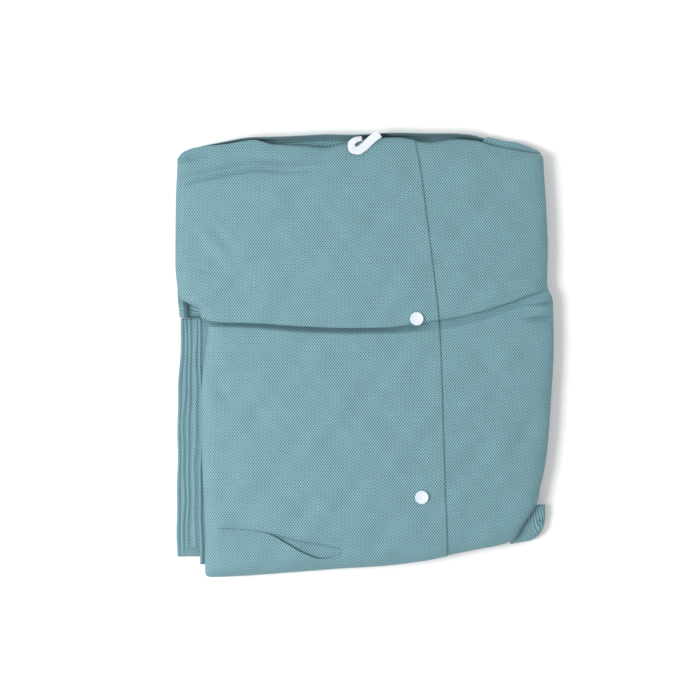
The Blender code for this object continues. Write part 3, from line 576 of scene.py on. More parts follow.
def crown(x, y, centre_y, half_length):
    """One pillow's rise over the face's edge height, from 0 to 1."""
    across = np.minimum(1.0, np.abs(x) / CROWN_HALF_WIDTH)
    along = np.minimum(1.0, np.abs(y - centre_y) / half_length)
    return (1.0 - across**CROWN_POWER) * (1.0 - along**CROWN_POWER)


def soft_fold(fold, x, y):
    """Height of one soft trough or ridge, which bends between its ends and fades out at them."""
    run_x = fold.end_x - fold.x
    run_y = fold.end_y - fold.y
    length = math.hypot(run_x, run_y)
    t = ((x - fold.x) * run_x + (y - fold.y) * run_y) / length**2
    inside = np.clip(t, 0.0, 1.0)
    aside = ((x - fold.x) * -run_y + (y - fold.y) * run_x) / length
    aside = aside - fold.bend * 4.0 * inside * (1.0 - inside)
    fade = smooth_step(inside * SOFT_FOLD_FADE_IN) * smooth_step((1.0 - inside) * SOFT_FOLD_FADE_OUT)
    return fold.height * bell(aside / fold.width) * fade


def unevenness(x, y):
    """The soft folds and slow waves of the cloth, level near the snaps and the tape."""
    height = sum(soft_fold(fold, x, y) for fold in SOFT_FOLDS)
    for wave in WAVES:
        turn = math.tau * (x / wave.across + y / wave.along) + wave.start
        height = height + wave.height * np.sin(turn)
    for spot in LEVEL_SPOTS:
        away = np.hypot(x - spot.x, y - spot.y)
        height = height * smooth_step((away - 0.5 * spot.reach) / spot.reach)
    return height


def mouth_dip(x, y):
    """How deep the front lies in the pocket's open mouth, under the fold above it."""
    below_fold = smooth_step((mouth_fold_y(x) - y) / MOUTH_FOLD_RUN)
    above_hidden = smooth_step((y - pocket_mouth_y(x) + MOUTH_HIDDEN_REACH) / MOUTH_HIDDEN_RUN)
    from_left = smooth_step((x - MOUTH_FOLD[0].x) / MOUTH_LEFT_RUN)
    from_right = smooth_step((POCKET_RIGHT - x) / MOUTH_RIGHT_RUN)
    from_edge = (y - mouth_fold_y(x) - MOUTH_EDGE_OFFSET) / MOUTH_EDGE_WIDTH
    dip = MOUTH_DEPTH * below_fold * above_hidden - MOUTH_EDGE * bell(from_edge)
    return dip * from_left * from_right


def face_height(x, y):
    """Height of the face's outer surface away from its rim."""
    rise = UPPER_CROWN * crown(x, y, UPPER_CROWN_Y, UPPER_HALF_LENGTH)
    rise = rise + LOWER_CROWN * crown(x, y, LOWER_CROWN_Y, LOWER_HALF_LENGTH)
    past_fold = y - top_fold_y(x)
    rise = rise - top_fold_drop(x) * smooth_step(past_fold / TOP_FOLD_RUN)
    rise = rise - top_fold_groove(x) * bell(past_fold / TOP_GROOVE_WIDTH)
    return FACE_EDGE_HEIGHT + rise + unevenness(x, y) - mouth_dip(x, y)


def crease_shape(x, y):
    """The trough's depth at places of the plan, and how far its lip draws them over it."""
    lip = crease_lip(x)
    from_crease = y - crease_y(x) - CREASE_RISE * lip
    width = crease_half_width(x)
    below = smooth_step(1.0 + from_crease / (CREASE_BELOW_RUN * width))
    above = smooth_step(1.0 - from_crease / (CREASE_ABOVE_RUN * width))
    trough = crease_depth(x) * np.where(from_crease < 0.0, below, above)
    pull = LIP_PULL * bell(from_crease / (LIP_PULL_WIDTH * width))
    give = bell((from_crease - LIP_GIVE_OFFSET * width) / (LIP_GIVE_WIDTH * width))
    return trough, lip * (pull - give)


def face_points(x, y, depth, outline, dips=True):
    """Points of the surface this far inside the face's outer one, over places in its outline."""
    x, y, rim = outline.rounded(x, y)
    trough, shift = crease_shape(x, y)
    core_gap = CREASE_CORE_GAP * depth / CORE_DEPTH
    near_crease = (y - crease_y(x)) / (CREASE_BELOW_RUN * crease_half_width(x)) - CREASE_CORE_OFFSET
    height = face_height(x, y) - trough - depth - core_gap * bell(near_crease)
    if not dips:
        height = height + mouth_dip(x, y)
    inside = 1.0 - rim
    fall = (1.0 - rim**RIM_POWER) ** (1.0 / RIM_POWER)
    z = RIM_HEIGHT + (height - RIM_HEIGHT) * fall
    return np.stack((x, y + shift * smooth_step(inside * LIP_RIM_FADE), z), axis=-1)


def stretch_weights(stretches):
    """For each line of a plan: the share of each anchor, an offset and a share of the rim's width."""
    lines = []
    for stretch in stretches:
        first = 0 if stretch is stretches[0] else 1
        for k in range(first, stretch.spans + 1):
            t = k / stretch.spans
            if stretch.rim:
                t = 1.0 - math.cos(0.5 * math.pi * t) if stretch.start == 0 else math.sin(0.5 * math.pi * t)
            shares = [0.0, 0.0, 0.0]
            shares[stretch.start] += 1.0 - t
            shares[stretch.end] += t
            offset = 0.0
            width = 0.0
            for at, part in ((stretch.start_offset, 1.0 - t), (stretch.end_offset, t)):
                if abs(at) == 1.0:
                    width += at * part
                else:
                    offset += at * part
            lines.append((*shares, offset, width))
    return np.array(lines)


def plan_places(weights, start, middle, end, rim_width):
    """Places of a plan's lines between their three anchors."""
    place = weights[..., 0] * start + weights[..., 1] * middle + weights[..., 2] * end
    return place + weights[..., 3] + weights[..., 4] * rim_width


def plan_grid(outline, columns=COLUMN_STRETCHES, rows=ROW_STRETCHES):
    """The plan's places in an outline, seen from above: X and Y for each row and column."""
    across = stretch_weights(columns)[None, :, :]
    along = stretch_weights(rows)[:, None, :]
    y = np.linspace(-PLAN_START_Y, PLAN_START_Y, along.shape[0])[:, None] * np.ones((1, across.shape[1]))
    x = np.zeros_like(y)
    for _ in range(SETTLING_PASSES):
        x = plan_places(across, outline.left(y), overlap_x(y), outline.right(y), outline.corner)
        y = plan_places(along, outline.bottom(x), crease_y(x), outline.top(x), outline.corner)
    return x, y


def under_step(x, y):
    """How far the left front lies below the right one: a ply at the overlap, none well past it."""
    past = (x - overlap_x(y) - STEP_LEVEL) / STEP_RUN_OUT
    return PLY_STEP * (1.0 - smooth_step(past))


def layer_places(depth_at, first, last):
    """X, Y and depth of a run of the plan's columns on a layer whose depth may change."""
    x, y = (part[:, first : last + 1] for part in plan_grid(face_outline(0.0)))
    deep_x, deep_y = (part[:, first : last + 1] for part in plan_grid(face_outline(DEEPEST)))
    depth = depth_at(x, y)
    share = depth / DEEPEST
    return x + (deep_x - x) * share, y + (deep_y - y) * share, depth


def nose_rings(edge, depth, outline, tuck_length):
    """Rings of the fold under the rim: down, round and in from its edge."""
    way = outline.way_in(edge[:, 0], edge[:, 1])
    radius = NOSE_RADIUS - depth
    rings = []
    for k in range(1, NOSE_STEPS + 1):
        turn = 0.5 * math.pi * k / NOSE_STEPS
        ring = edge.copy()
        ring[:, :2] += way * (radius * (1.0 - math.cos(turn)))[:, None]
        ring[:, 2] -= radius * math.sin(turn)
        rings.append(ring)
    for k in range(1, TUCK_STEPS + 1):
        ring = rings[NOSE_STEPS - 1].copy()
        ring[:, :2] += way * tuck_length * k / TUCK_STEPS
        rings.append(ring)
    return rings


def border(rows, columns, sides):
    """Grid places along the wrapped sides, in order round the sheet. sides is left, right or both."""
    bottom = [(0, i) for i in range(columns)]
    right = [(j, columns - 1) for j in range(1, rows)]
    top = [(rows - 1, i) for i in reversed(range(columns))]
    left = [(j, 0) for j in reversed(range(rows - 1))]
    if sides == "left":
        return top + left + bottom[1:]
    if sides == "right":
        return bottom + right + top[1:]
    return bottom + right + top[1:] + left[:-1]


def rim_extra(points, coordinate):
    """Length that the fall round the first and the last row adds to the plan's, growing outward."""
    step = np.diff(points, axis=0)
    longer = np.linalg.norm(step, axis=-1) - np.linalg.norm(step[..., :2], axis=-1)
    place = points[1:, :, coordinate]
    low = longer * (place < points[0, :, coordinate] + RIM_REACH)
    high = longer * (place > points[-1, :, coordinate] - RIM_REACH)
    extra = np.zeros(points.shape[:2])
    extra[:-1] -= np.cumsum(low[::-1], axis=0)[::-1]
    extra[1:] += np.cumsum(high, axis=0)
    return extra


def level_lengths(points, turn):
    """Lengths across and along a sheet that is level but for its rim, with its weave turned by a slope."""
    x = points[..., 0]
    y = points[..., 1]
    across = x + turn * y + rim_extra(points.transpose(1, 0, 2), 0).T
    along = y - turn * x + rim_extra(points, 1)
    return across, along


def folded_lengths(points):
    """Lengths along a folded strip, across and along, measured from one corner of its grid."""
    across = np.zeros(points.shape[:2])
    along = np.zeros(points.shape[:2])
    across[:, 1:] = np.cumsum(np.linalg.norm(np.diff(points, axis=1), axis=-1), axis=1)
    along[1:, :] = np.cumsum(np.linalg.norm(np.diff(points, axis=0), axis=-1), axis=0)
    return across, along


def grid_sheet(points, lengths):
    """A sheet made from a grid and moved to an array of points, with its cloth lengths kept on it."""
    rows, columns, _ = points.shape
    mesh = bmesh.new()
    bmesh.ops.create_grid(mesh, x_segments=columns - 1, y_segments=rows - 1, size=1.0)
    across_layer = mesh.verts.layers.float.new("across")
    along_layer = mesh.verts.layers.float.new("along")
    across, along = lengths
    verts = {}
    for vert in mesh.verts:
        i = round((vert.co.x + 1.0) * 0.5 * (columns - 1))
        j = round((vert.co.y + 1.0) * 0.5 * (rows - 1))
        verts[j, i] = vert
    for (j, i), vert in verts.items():
        vert.co = Vector(points[j, i]) * MM
        vert[across_layer] = across[j, i]
        vert[along_layer] = along[j, i]
    return mesh, verts


def extrude_rings(mesh, ring, rings, closed):
    """Extrudes a sheet's edge through rings of points, and carries the cloth lengths on."""
    across_layer = mesh.verts.layers.float["across"]
    along_layer = mesh.verts.layers.float["along"]
    for points in rings:
        pairs = list(zip(ring, ring[1:]))
        if closed:
            pairs.append((ring[-1], ring[0]))
        edges = [mesh.edges.get(pair) for pair in pairs]
        made = bmesh.ops.extrude_edge_only(mesh, edges=edges)["geom"]
        fresh = {item for item in made if isinstance(item, bmesh.types.BMVert)}
        places = {vert: k for k, vert in enumerate(ring)}
        next_ring = [None] * len(ring)
        for vert in fresh:
            for edge in vert.link_edges:
                k = places.get(edge.other_vert(vert))
                if k is not None:
                    next_ring[k] = vert
        for k, vert in enumerate(next_ring):
            old = ring[k]
            vert.co = Vector(points[k]) * MM
            gone = (vert.co - old.co).length / MM
            vert[across_layer] = old[across_layer] + gone * RING_LENGTH_SHARE
            vert[along_layer] = old[along_layer] + gone * RING_LENGTH_SHARE
        ring = next_ring
    return ring


def face_out(mesh):
    """Turns a shell's faces out, so that its highest one looks up."""
    bmesh.ops.recalc_face_normals(mesh, faces=mesh.faces[:])
    highest = max(mesh.faces, key=lambda face: face.calc_center_median().z)
    highest.normal_update()
    if highest.normal.z < 0.0:
        bmesh.ops.reverse_faces(mesh, faces=mesh.faces[:])


def finish_piece(mesh, name, nodes, material, wall=None):
    """The mesh as a piece that stands for its solids, with its cloth lengths as a UV map."""
    face_out(mesh)
    across_layer = mesh.verts.layers.float.get("across")
    if across_layer is not None:
        along_layer = mesh.verts.layers.float["along"]
        uv_layer = mesh.loops.layers.uv.new("ClothLengths")
        for face in mesh.faces:
            for loop in face.loops:
                vert = loop.vert
                loop[uv_layer].uv = (vert[across_layer] * MM, vert[along_layer] * MM)
    data = bpy.data.meshes.new(name)
    mesh.to_mesh(data)
    mesh.free()
    data.shade_smooth()
    data.materials.append(material)
    piece = bpy.data.objects.new(name, data)
    bpy.context.scene.collection.objects.link(piece)
    if wall:
        shell = piece.modifiers.new("ClothWall", "SOLIDIFY")
        shell.thickness = wall
        shell.offset = -1.0
    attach(piece, "root")
    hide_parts(*nodes)
    return piece


def linear_colour(hex_value):
    """An sRGB hex value as linear red, green, blue and alpha."""
    parts = []
    for start in (0, 2, 4):
        part = int(hex_value[start : start + 2], 16) / 255.0
        parts.append(part / 12.92 if part <= 0.04045 else ((part + 0.055) / 1.055) ** 2.4)
    return (*parts, 1.0)


def set_inputs(tree, node, inputs):
    """Gives a node's inputs, by name or number, their values or the links into them."""
    for key, value in inputs.items():
        if isinstance(value, bpy.types.NodeSocket):
            tree.links.new(value, node.inputs[key])
        else:
            node.inputs[key].default_value = value


def add_node(tree, kind, inputs=None, **settings):
    """A shader node of a kind, with its settings and its inputs."""
    node = tree.nodes.new("ShaderNode" + kind)
    for name, value in settings.items():
        setattr(node, name, value)
    set_inputs(tree, node, inputs or {})
    return node


def product(tree, first, second):
    return add_node(tree, "Math", {0: first, 1: second}, operation="MULTIPLY").outputs[0]


def ripple(tree, operation, length, period):
    """The sine or cosine of a length that repeats over a period."""
    turned = product(tree, length, math.tau / period)
    return add_node(tree, "Math", {0: turned}, operation=operation).outputs[0]


def noise(tree, place, scale, detail, roughness=0.5):
    inputs = {"Vector": place, "Scale": scale, "Detail": detail, "Roughness": roughness}
    return add_node(tree, "TexNoise", inputs).outputs["Fac"]


def mapped(tree, value, first, last, low, high, kind="LINEAR"):
    """A value's run from first to last, moved to run from low to high."""
    inputs = {"Value": value, "From Min": first, "From Max": last, "To Min": low, "To Max": high}
    return add_node(tree, "MapRange", inputs, interpolation_type=kind).outputs[0]


def shaded(tree, colour, share):
    """A colour made darker or lighter by a share."""
    return add_node(tree, "VectorMath", {0: colour, 3: share}, operation="SCALE").outputs[0]


def relief(tree, height, strength, distance, under=None):
    """Normals of a fine relief, over those of another one if there is one."""
    inputs = {"Height": height, "Strength": strength, "Distance": distance}
    if under is not None:
        inputs["Normal"] = under
    return add_node(tree, "Bump", inputs).outputs[0]


def cloth_lengths(tree):
    """The cloth's own lengths: as a vector, across and along."""
    place = add_node(tree, "UVMap", uv_map="ClothLengths").outputs[0]
    split = add_node(tree, "SeparateXYZ", {0: place})
    return place, split.outputs[0], split.outputs[1]


def spunbond(tree, cloth_hex, dots_hex):
    """Embossed spunbond polypropylene: a matt web of fibres, pressed flat and darker at its bonded dots."""
    sizes = bpy.context.scene.coat_sizes
    place, across, along = cloth_lengths(tree)
    in_row = ripple(tree, "COSINE", across, sizes.dot_spacing)
    between_rows = ripple(tree, "COSINE", along, 2.0 * sizes.row_spacing)
    dots = mapped(tree, product(tree, in_row, between_rows), 0.02, 0.62, 0.0, 1.0, "SMOOTHSTEP")
    fibres = noise(tree, place, scale=900.0, detail=3.0, roughness=0.7)
    clouds = noise(tree, place, scale=45.0, detail=4.0, roughness=0.6)
    colours = {0: dots, 6: linear_colour(cloth_hex), 7: linear_colour(dots_hex)}
    dotted = add_node(tree, "Mix", colours, data_type="RGBA").outputs[2]
    uneven = mapped(tree, fibres, 0.3, 0.7, 0.88, 1.1)
    cloudy = mapped(tree, clouds, 0.3, 0.7, 0.94, 1.05)
    fibre_relief = relief(tree, fibres, strength=0.25, distance=0.0001)
    pressed_in = product(tree, dots, -1.0)
    return {
        "Base Color": shaded(tree, dotted, product(tree, uneven, cloudy)),
        "Roughness": 0.62,
        "IOR": 1.49,
        "Sheen Weight": 0.12,
        "Sheen Roughness": 0.5,
        "Normal": relief(tree, pressed_in, strength=0.8, distance=0.00018, under=fibre_relief),
    }


def woven_tape(tree, hex_value):
    """Plain woven polyester tape: matt, white, with fine ribs across it."""
    _, across, along = cloth_lengths(tree)
    weave = product(tree, ripple(tree, "SINE", across, 0.0011), ripple(tree, "SINE", along, 0.0008))
    return {
        "Base Color": shaded(tree, linear_colour(hex_value)[:3], mapped(tree, weave, -1.0, 1.0, 0.9, 1.0)),
        "Roughness": 0.7,
        "Sheen Weight": 0.2,
        "Normal": relief(tree, weave, strength=0.5, distance=0.00015),
    }


def moulded_snap(tree, hex_value):
    """Moulded acetal: a smooth, slightly glossy white, a little uneven from the mould."""
    place = add_node(tree, "TexCoord").outputs["Object"]
    grain = noise(tree, place, scale=1400.0, detail=2.0)
    return {
        "Base Color": linear_colour(hex_value),
        "Roughness": mapped(tree, grain, 0.3, 0.7, 0.28, 0.4),
        "IOR": 1.48,
        "Normal": relief(tree, grain, strength=0.12, distance=0.00005),
    }


def seamless_floor(tree, hex_value):
    """Matt pale board, with the faintest mottle."""
    place = add_node(tree, "TexCoord").outputs["Object"]
    mottle = noise(tree, place, scale=4.0, detail=2.0)
    shade = mapped(tree, mottle, 0.0, 1.0, 0.985, 1.0)
    return {"Base Color": shaded(tree, linear_colour(hex_value)[:3], shade), "Roughness": 0.85}


def material_of(name, surface, *colours):
    """The material of this name. It is made when it is first asked for, from its surface and colours."""
    made = bpy.data.materials.get(name)
    if made is None:
        made = bpy.data.materials.new(name)
        made.use_nodes = True
        tree = made.node_tree
        set_inputs(tree, tree.nodes["Principled BSDF"], surface(tree, *colours))
    return made


def cloth_piece(mesh, node, closed=False):
    """A cloth form over its solid: a sheet, which is given the cloth's wall, or a closed form."""
    scene = bpy.context.scene
    colours = scene.coat_colours
    cloth = material_of("spunbond_polypropylene", spunbond, colours.cloth, colours.cloth_dots)
    wall = None if closed else scene.coat_sizes.cloth_wall
    return finish_piece(mesh, node + "_cloth", [node], cloth, wall)


def strip_piece(points, node):
    """A folded or standing strip of cloth over its solid."""
    mesh, _ = grid_sheet(points, folded_lengths(points))
    return cloth_piece(mesh, node)


def front_sheet(first, last, sides, depth_at, turn):
    """One front over its columns of the plan, folded round the packet's rim."""
    x, y, depth = layer_places(depth_at, first, last)
    points = face_points(x, y, depth, face_outline(depth))
    mesh, verts = grid_sheet(points, level_lengths(points, turn))
    loop = border(points.shape[0], points.shape[1], sides)
    edge = np.array([points[place] for place in loop])
    edge_depth = np.array([depth[place] for place in loop])
    rings = nose_rings(edge, edge_depth, face_outline(edge_depth), NOSE_TUCK)
    extrude_rings(mesh, [verts[place] for place in loop], rings, closed=False)
    return mesh


class COAT_OT_right_front(bpy.types.Operator):
    """Builds the right front, which laps over the left one."""

    bl_idname = "coat.right_front"
    bl_label = "Right front"

    def execute(self, context):
        mesh = front_sheet(0, OVERLAP_END_COLUMN, "left", lambda x, y: 0.0 * x, RIGHT_FRONT_TURN)
        piece = cloth_piece(mesh, "right_front")
        return {"FINISHED"}


class COAT_OT_left_front(bpy.types.Operator):
    """Builds the left front, which passes under the right one."""

    bl_idname = "coat.left_front"
    bl_label = "Left front"

    def execute(self, context):
        mesh = front_sheet(OVERLAP_START_COLUMN, LAST_COLUMN, "right", under_step, LEFT_FRONT_TURN)
        piece = cloth_piece(mesh, "left_front")
        return {"FINISHED"}


def pocket_points(columns, rim_rows, rows):
    """The pocket's points, from the foot end's rim up to its mouth."""
    depth = -POCKET_SIDE_LIFT
    outline = face_outline(depth)
    x = np.linspace(POCKET_LEFT, POCKET_RIGHT, columns + 1)[None, :]
    bottom = outline.bottom(x)
    mouth = np.maximum(pocket_mouth_y(x), bottom + POCKET_LEAST_HEIGHT)
    rim = np.minimum(outline.corner, POCKET_RIM_SHARE * (mouth - bottom))
    lines = [bottom + rim * (1.0 - math.cos(0.5 * math.pi * k / rim_rows)) for k in range(rim_rows)]
    start = lines[-1]
    for k in range(rows + 1):
        lines.append(start + (mouth - start) * (k + 1) / (rows + 1))
    y = np.concatenate(lines, axis=0)
    x = np.broadcast_to(x, y.shape)
    points = face_points(x, y, depth, outline, dips=False)
    from_side = smooth_step(np.minimum(x - POCKET_LEFT, POCKET_RIGHT - x) / POCKET_SIDE_RUN)
    hem = POCKET_HEM * bell((mouth - y) / POCKET_HEM_WIDTH)
    lift = (POCKET_LIFT - POCKET_SIDE_LIFT + hem) * from_side
    points[..., 2] += lift * smooth_step((y - bottom) / POCKET_FOOT_RUN)
    return points, depth, outline


class COAT_OT_hip_pocket(bpy.types.Operator):
    """Builds the hip pocket, whose mouth sags open."""

    bl_idname = "coat.hip_pocket"
    bl_label = "Hip pocket"

    def execute(self, context):
        points, depth, outline = pocket_points(columns=90, rim_rows=10, rows=26)
        mesh, verts = grid_sheet(points, level_lengths(points, POCKET_TURN))
        edge = points[0]
        rings = nose_rings(edge, np.full(len(edge), depth), outline, NOSE_TUCK)[:NOSE_STEPS]
        extrude_rings(mesh, [verts[0, i] for i in range(len(edge))], rings, closed=False)
        piece = cloth_piece(mesh, "hip_pocket")
        return {"FINISHED"}


def edge_wobble(at, start):
    """How far a folded edge strays from its curve. Each edge has its own start."""
    waves = (wobble.height * np.sin(at / wobble.length + wobble.turn * start) for wobble in WOBBLES)
    return EDGE_UNEVENNESS * sum(waves)


def at_height(places, height):
    """Places of the plan as points at one height."""
    return np.concatenate((places, np.full((len(places), 1), height)), axis=1)


def fold_points(inner, outer, low, high, tuck, steps):
    """Sections through a turned edge: over the top ply, round the nose and back under."""
    way = outer - inner
    way = way / np.linalg.norm(way, axis=-1, keepdims=True)
    radius = 0.5 * (high - low)
    centre = outer - way * radius
    sections = []
    for k in range(steps):
        share = 1.0 - (1.0 - k / steps) ** TOP_PLY_EASING
        sections.append(at_height(inner + (centre - inner) * share, high))
    for k in range(FOLD_NOSE_SECTIONS):
        turn = math.radians(90.0 - 180.0 * k / (FOLD_NOSE_SECTIONS - 1))
        height = 0.5 * (low + high) + radius * math.sin(turn)
        sections.append(at_height(centre + way * radius * math.cos(turn), height))
    for k in range(1, steps + 1):
        sections.append(at_height(centre - way * tuck * k / steps, low))
    return np.stack(sections, axis=1)


def side_fold_points(fold, width):
    """Points of a turned side, whose top ply dips behind the fold and has the line of a ply under it."""
    y = np.linspace(fold.edge[0].y, fold.edge[-1].y + SIDE_FOLD_RUN_IN, SIDE_FOLD_SECTIONS)
    outer_x = curve_of(fold.edge, "y", "x")(y) + SIDE_FOLD_WOBBLE * edge_wobble(y, fold.start)
    inner = np.stack((np.full_like(y, SIDE_FOLDS_INNER_X), y), axis=-1)
    outer = np.stack((outer_x, y), axis=-1)
    points = fold_points(inner, outer, fold.low, fold.high, width - SIDE_FOLD_GAP, TOP_PLY_STEPS)
    from_nose = np.linalg.norm(points[..., :2] - outer[:, None, :], axis=-1) - NOSE_RUN
    dip = SIDE_PLY_DIP * smooth_step(from_nose / SIDE_DIP_RUN)
    line = fold.line + SIDE_LINE_WOBBLE * edge_wobble(y, fold.start + 1.9)[:, None]
    ridge = (SIDE_PLY_DIP - SIDE_LINE_BELOW) * bell((from_nose - line) / SIDE_LINE_WIDTH)
    points[:, :TOP_PLY_STEPS, 2] += (ridge - dip)[:, :TOP_PLY_STEPS]
    return points


class COAT_OT_turned_sides(bpy.types.Operator):
    """Builds the turned sides at the lower left: the back, the right sleeve and the front."""

    bl_idname = "coat.turned_sides"
    bl_label = "Turned sides"

    def execute(self, context):
        for fold in SIDE_FOLDS:
            width = SIDE_FOLDS_INNER_X - fold.edge[0].x
            piece = strip_piece(side_fold_points(fold, width), fold.name)
        return {"FINISHED"}


def along_rows(rows, count):
    """Smooth runs of values through a table's rows, one run for each column."""
    at = np.linspace(0.0, len(rows) - 1.0, count)
    return [Curve(enumerate(column))(at) for column in zip(*rows)]


class COAT_OT_left_sleeve(bpy.types.Operator):
    """Builds the left sleeve's fold, round the bottom right corner."""

    bl_idname = "coat.left_sleeve"
    bl_label = "Left sleeve"

    def execute(self, context):
        band = along_rows(LEFT_SLEEVE, LEFT_SLEEVE_SECTIONS)
        inner = np.stack(band[:2], axis=-1)
        outer = np.stack(band[2:], axis=-1)
        points = fold_points(
            inner, outer, LEFT_SLEEVE_LOW, LEFT_SLEEVE_HIGH, LEFT_SLEEVE_TUCK, LEFT_SLEEVE_STEPS
        )
        x = points[..., 0]
        y = points[..., 1]
        reach_in = smooth_step((x - SLEEVE_TAB_X) / SLEEVE_TAB_RUN)
        tab = SLEEVE_TAB_DEPTH * bell((y - SLEEVE_TAB_Y) / SLEEVE_TAB_WIDTH) * reach_in
        waves = np.sin((0.9 * x + 0.5 * y) / SLEEVE_WAVE_LENGTH) * np.sin(y / SLEEVE_WAVE_FADE)
        points[..., 2] += SLEEVE_WAVE_HEIGHT * waves - tab
        piece = strip_piece(points, "left_sleeve_fold")
        return {"FINISHED"}


class COAT_OT_back_neck(bpy.types.Operator):
    """Builds the back panel's edge, which stands up behind the fronts' top fold."""

    bl_idname = "coat.back_neck"
    bl_label = "Back neck edge"

    def execute(self, context):
        x = np.linspace(BACK_NECK_LEFT, BACK_NECK_RIGHT, BACK_NECK_COLUMNS)[None, :]
        up = np.linspace(0.0, 1.0, BACK_NECK_ROWS)[:, None]
        share = 2.0 * (x - BACK_NECK_LEFT) / (BACK_NECK_RIGHT - BACK_NECK_LEFT) - 1.0
        lean = BACK_NECK_LEAN * (1.0 - up) ** 2
        sway = BACK_NECK_SWAY * edge_wobble(x, 1.7) * up
        y = behind_top_y(x) - lean + sway - BACK_NECK_END_SETBACK * share**12
        top = BACK_NECK_HIGH - BACK_NECK_LOW - BACK_NECK_END_DROP * share**8
        z = BACK_NECK_LOW + (top + BACK_NECK_UNEVENNESS * edge_wobble(x, 3.9)) * up
        points = np.stack((np.broadcast_to(x, y.shape), y, z), axis=-1)
        piece = strip_piece(points, "back_neck_fold")
        return {"FINISHED"}


def leaf_outline(leaf, extra):
    """Outline of a hidden leaf, drawn in further by extra."""
    is_upper = leaf is LEAVES[0]
    is_lowest = leaf is LEAVES[-1]

    def left(y):
        upper = behind_left_x(y) + leaf.left
        in_lower = 1.0 - smooth_step((y - BEHIND_LEFT_START) / BEHIND_LEFT_RUN)
        return upper + (CORE_LOWER_LEFT - upper) * in_lower + extra + edge_wobble(y, leaf.start)

    def right(y):
        full = face_right_x(y) - leaf.right
        by_sleeve = 0.0 if is_lowest else 1.0 - smooth_step((y - LEFT_SLEEVE[0].outer_y) / LEAF_RUN)
        edge = full + (CORE_SLEEVE_CORNER_X - full) * by_sleeve
        return edge - extra - LEAF_RIGHT_INSET - edge_wobble(y, leaf.start + 1.1)

    def bottom(x):
        last = LEFT_SLEEVE[-1].inner_x
        full = face_bottom_y(np.minimum(x, last)) + leaf.bottom
        by_sleeve = 0.0 if is_lowest else smooth_step((x - last + LEAF_RUN) / LEAF_RUN)
        return full + (CORE_SLEEVE_CORNER_Y - full) * by_sleeve + extra + edge_wobble(x, leaf.start + 2.7)

    def top(x):
        full = behind_top_y(x) - leaf.top
        if is_upper:
            under_face = face_top_y(x) - UPPER_LEAF_TOP_INSET
            past_neck = smooth_step((x - BACK_NECK_RIGHT + NECK_END_REACH) / LEAF_RUN)
            full = under_face + (full - under_face) * past_neck
        inset = LOWEST_LEAF_TOP_INSET if is_lowest else LEAF_TOP_INSET
        return full - extra - inset - 0.5 * edge_wobble(x, leaf.start + 3.3)

    return Outline(left, right, bottom, top, LEAF_CORNER)


# The hidden layers' own plan has half as many lines
CORE_COLUMNS = tuple(s._replace(spans=max(4, s.spans // 2)) for s in COLUMN_STRETCHES)
CORE_ROWS = tuple(s._replace(spans=max(4, s.spans // 2)) for s in ROW_STRETCHES)


def outline_ring(loop, outline, height):
    """Points round an outline at one height."""
    x, y = plan_grid(outline, CORE_COLUMNS, CORE_ROWS)
    x, y, _ = outline.rounded(x, y)
    return np.array([(x[place], y[place], height) for place in loop])


def recess_ring(loop, outline, height):
    """Points round an outline at one height, sunk into the recess at the left end of the crease."""
    ring = outline_ring(loop, outline, height)
    over_bottom = smooth_step((ring[:, 1] - BEHIND_LEFT_START) / RECESS_BOTTOM_RUN)
    under_top = smooth_step((RECESS_TOP_Y - ring[:, 1]) / RECESS_TOP_RUN)
    ring[:, 2] -= RECESS_DEPTH * over_bottom * under_top * (ring[:, 0] < 0.0)
    return ring


def leaf_rings(loop):
    """The rings down the layered edge, with a rounded bulge for each ply of each leaf."""
    rings = [recess_ring(loop, face_outline(FACE_GROOVE), FACE_GROOVE_HEIGHT)]
    for inset in RECESS_RINGS:
        rings.append(recess_ring(loop, leaf_outline(LEAVES[0], inset), LEAVES[0].high - LEAF_LIFT))
    for leaf in LEAVES:
        if leaf is not LEAVES[0]:
            rings.append(outline_ring(loop, leaf_outline(leaf, LEAF_GROOVE), leaf.high + LEAF_LIFT))
        ply = (leaf.high - leaf.low) / leaf.plies
        for k in range(leaf.plies):
            inward = PLY_STAGGER * ((k + 1) % 2)
            for row in PLY_EDGE:
                height = max(0.0, leaf.high - ply * (k + row.drop))
                outline = leaf_outline(leaf, row.inset * PLY_GROOVE + inward)
                rings.append(outline_ring(loop, outline, height))
    rings.append(outline_ring(loop, leaf_outline(LEAVES[-1], UNDERSIDE_INSET), 0.0))
    return rings


class COAT_OT_folded_layers(bpy.types.Operator):
    """Builds the hidden layers: one closed form under the face, with the edges of its plies all round."""

    bl_idname = "coat.folded_layers"
    bl_label = "Folded layers"

    def execute(self, context):
        outline = face_outline(CORE_DEPTH)
        x, y = plan_grid(outline, CORE_COLUMNS, CORE_ROWS)
        points = face_points(x, y, np.full_like(x, CORE_DEPTH), outline)
        mesh, verts = grid_sheet(points, level_lengths(points, RIGHT_FRONT_TURN))
        loop = border(points.shape[0], points.shape[1], "both")
        edge = np.array([points[place] for place in loop])
        rings = nose_rings(edge, np.full(len(edge), CORE_DEPTH), outline, CORE_TUCK)
        rings = rings[2::3] + [rings[-1]] + leaf_rings(loop)
        ring = extrude_rings(mesh, [verts[place] for place in loop], rings, closed=True)
        edges = [mesh.edges.get(pair) for pair in zip(ring, ring[1:] + ring[:1])]
        bmesh.ops.holes_fill(mesh, edges=edges, sides=0)
        piece = cloth_piece(mesh, "folded_layers", closed=True)
        return {"FINISHED"}


def tape_height(x, y):
    """Height that the tape rests at: the face, or a level line past the face's edge."""
    outline = face_outline(0.0)
    inside_y = np.minimum(y, outline.top(x) - TAPE_LEVEL_SHARE * RIM_WIDTH)
    return face_points(x, inside_y, 0.0 * x, outline)[..., 2]


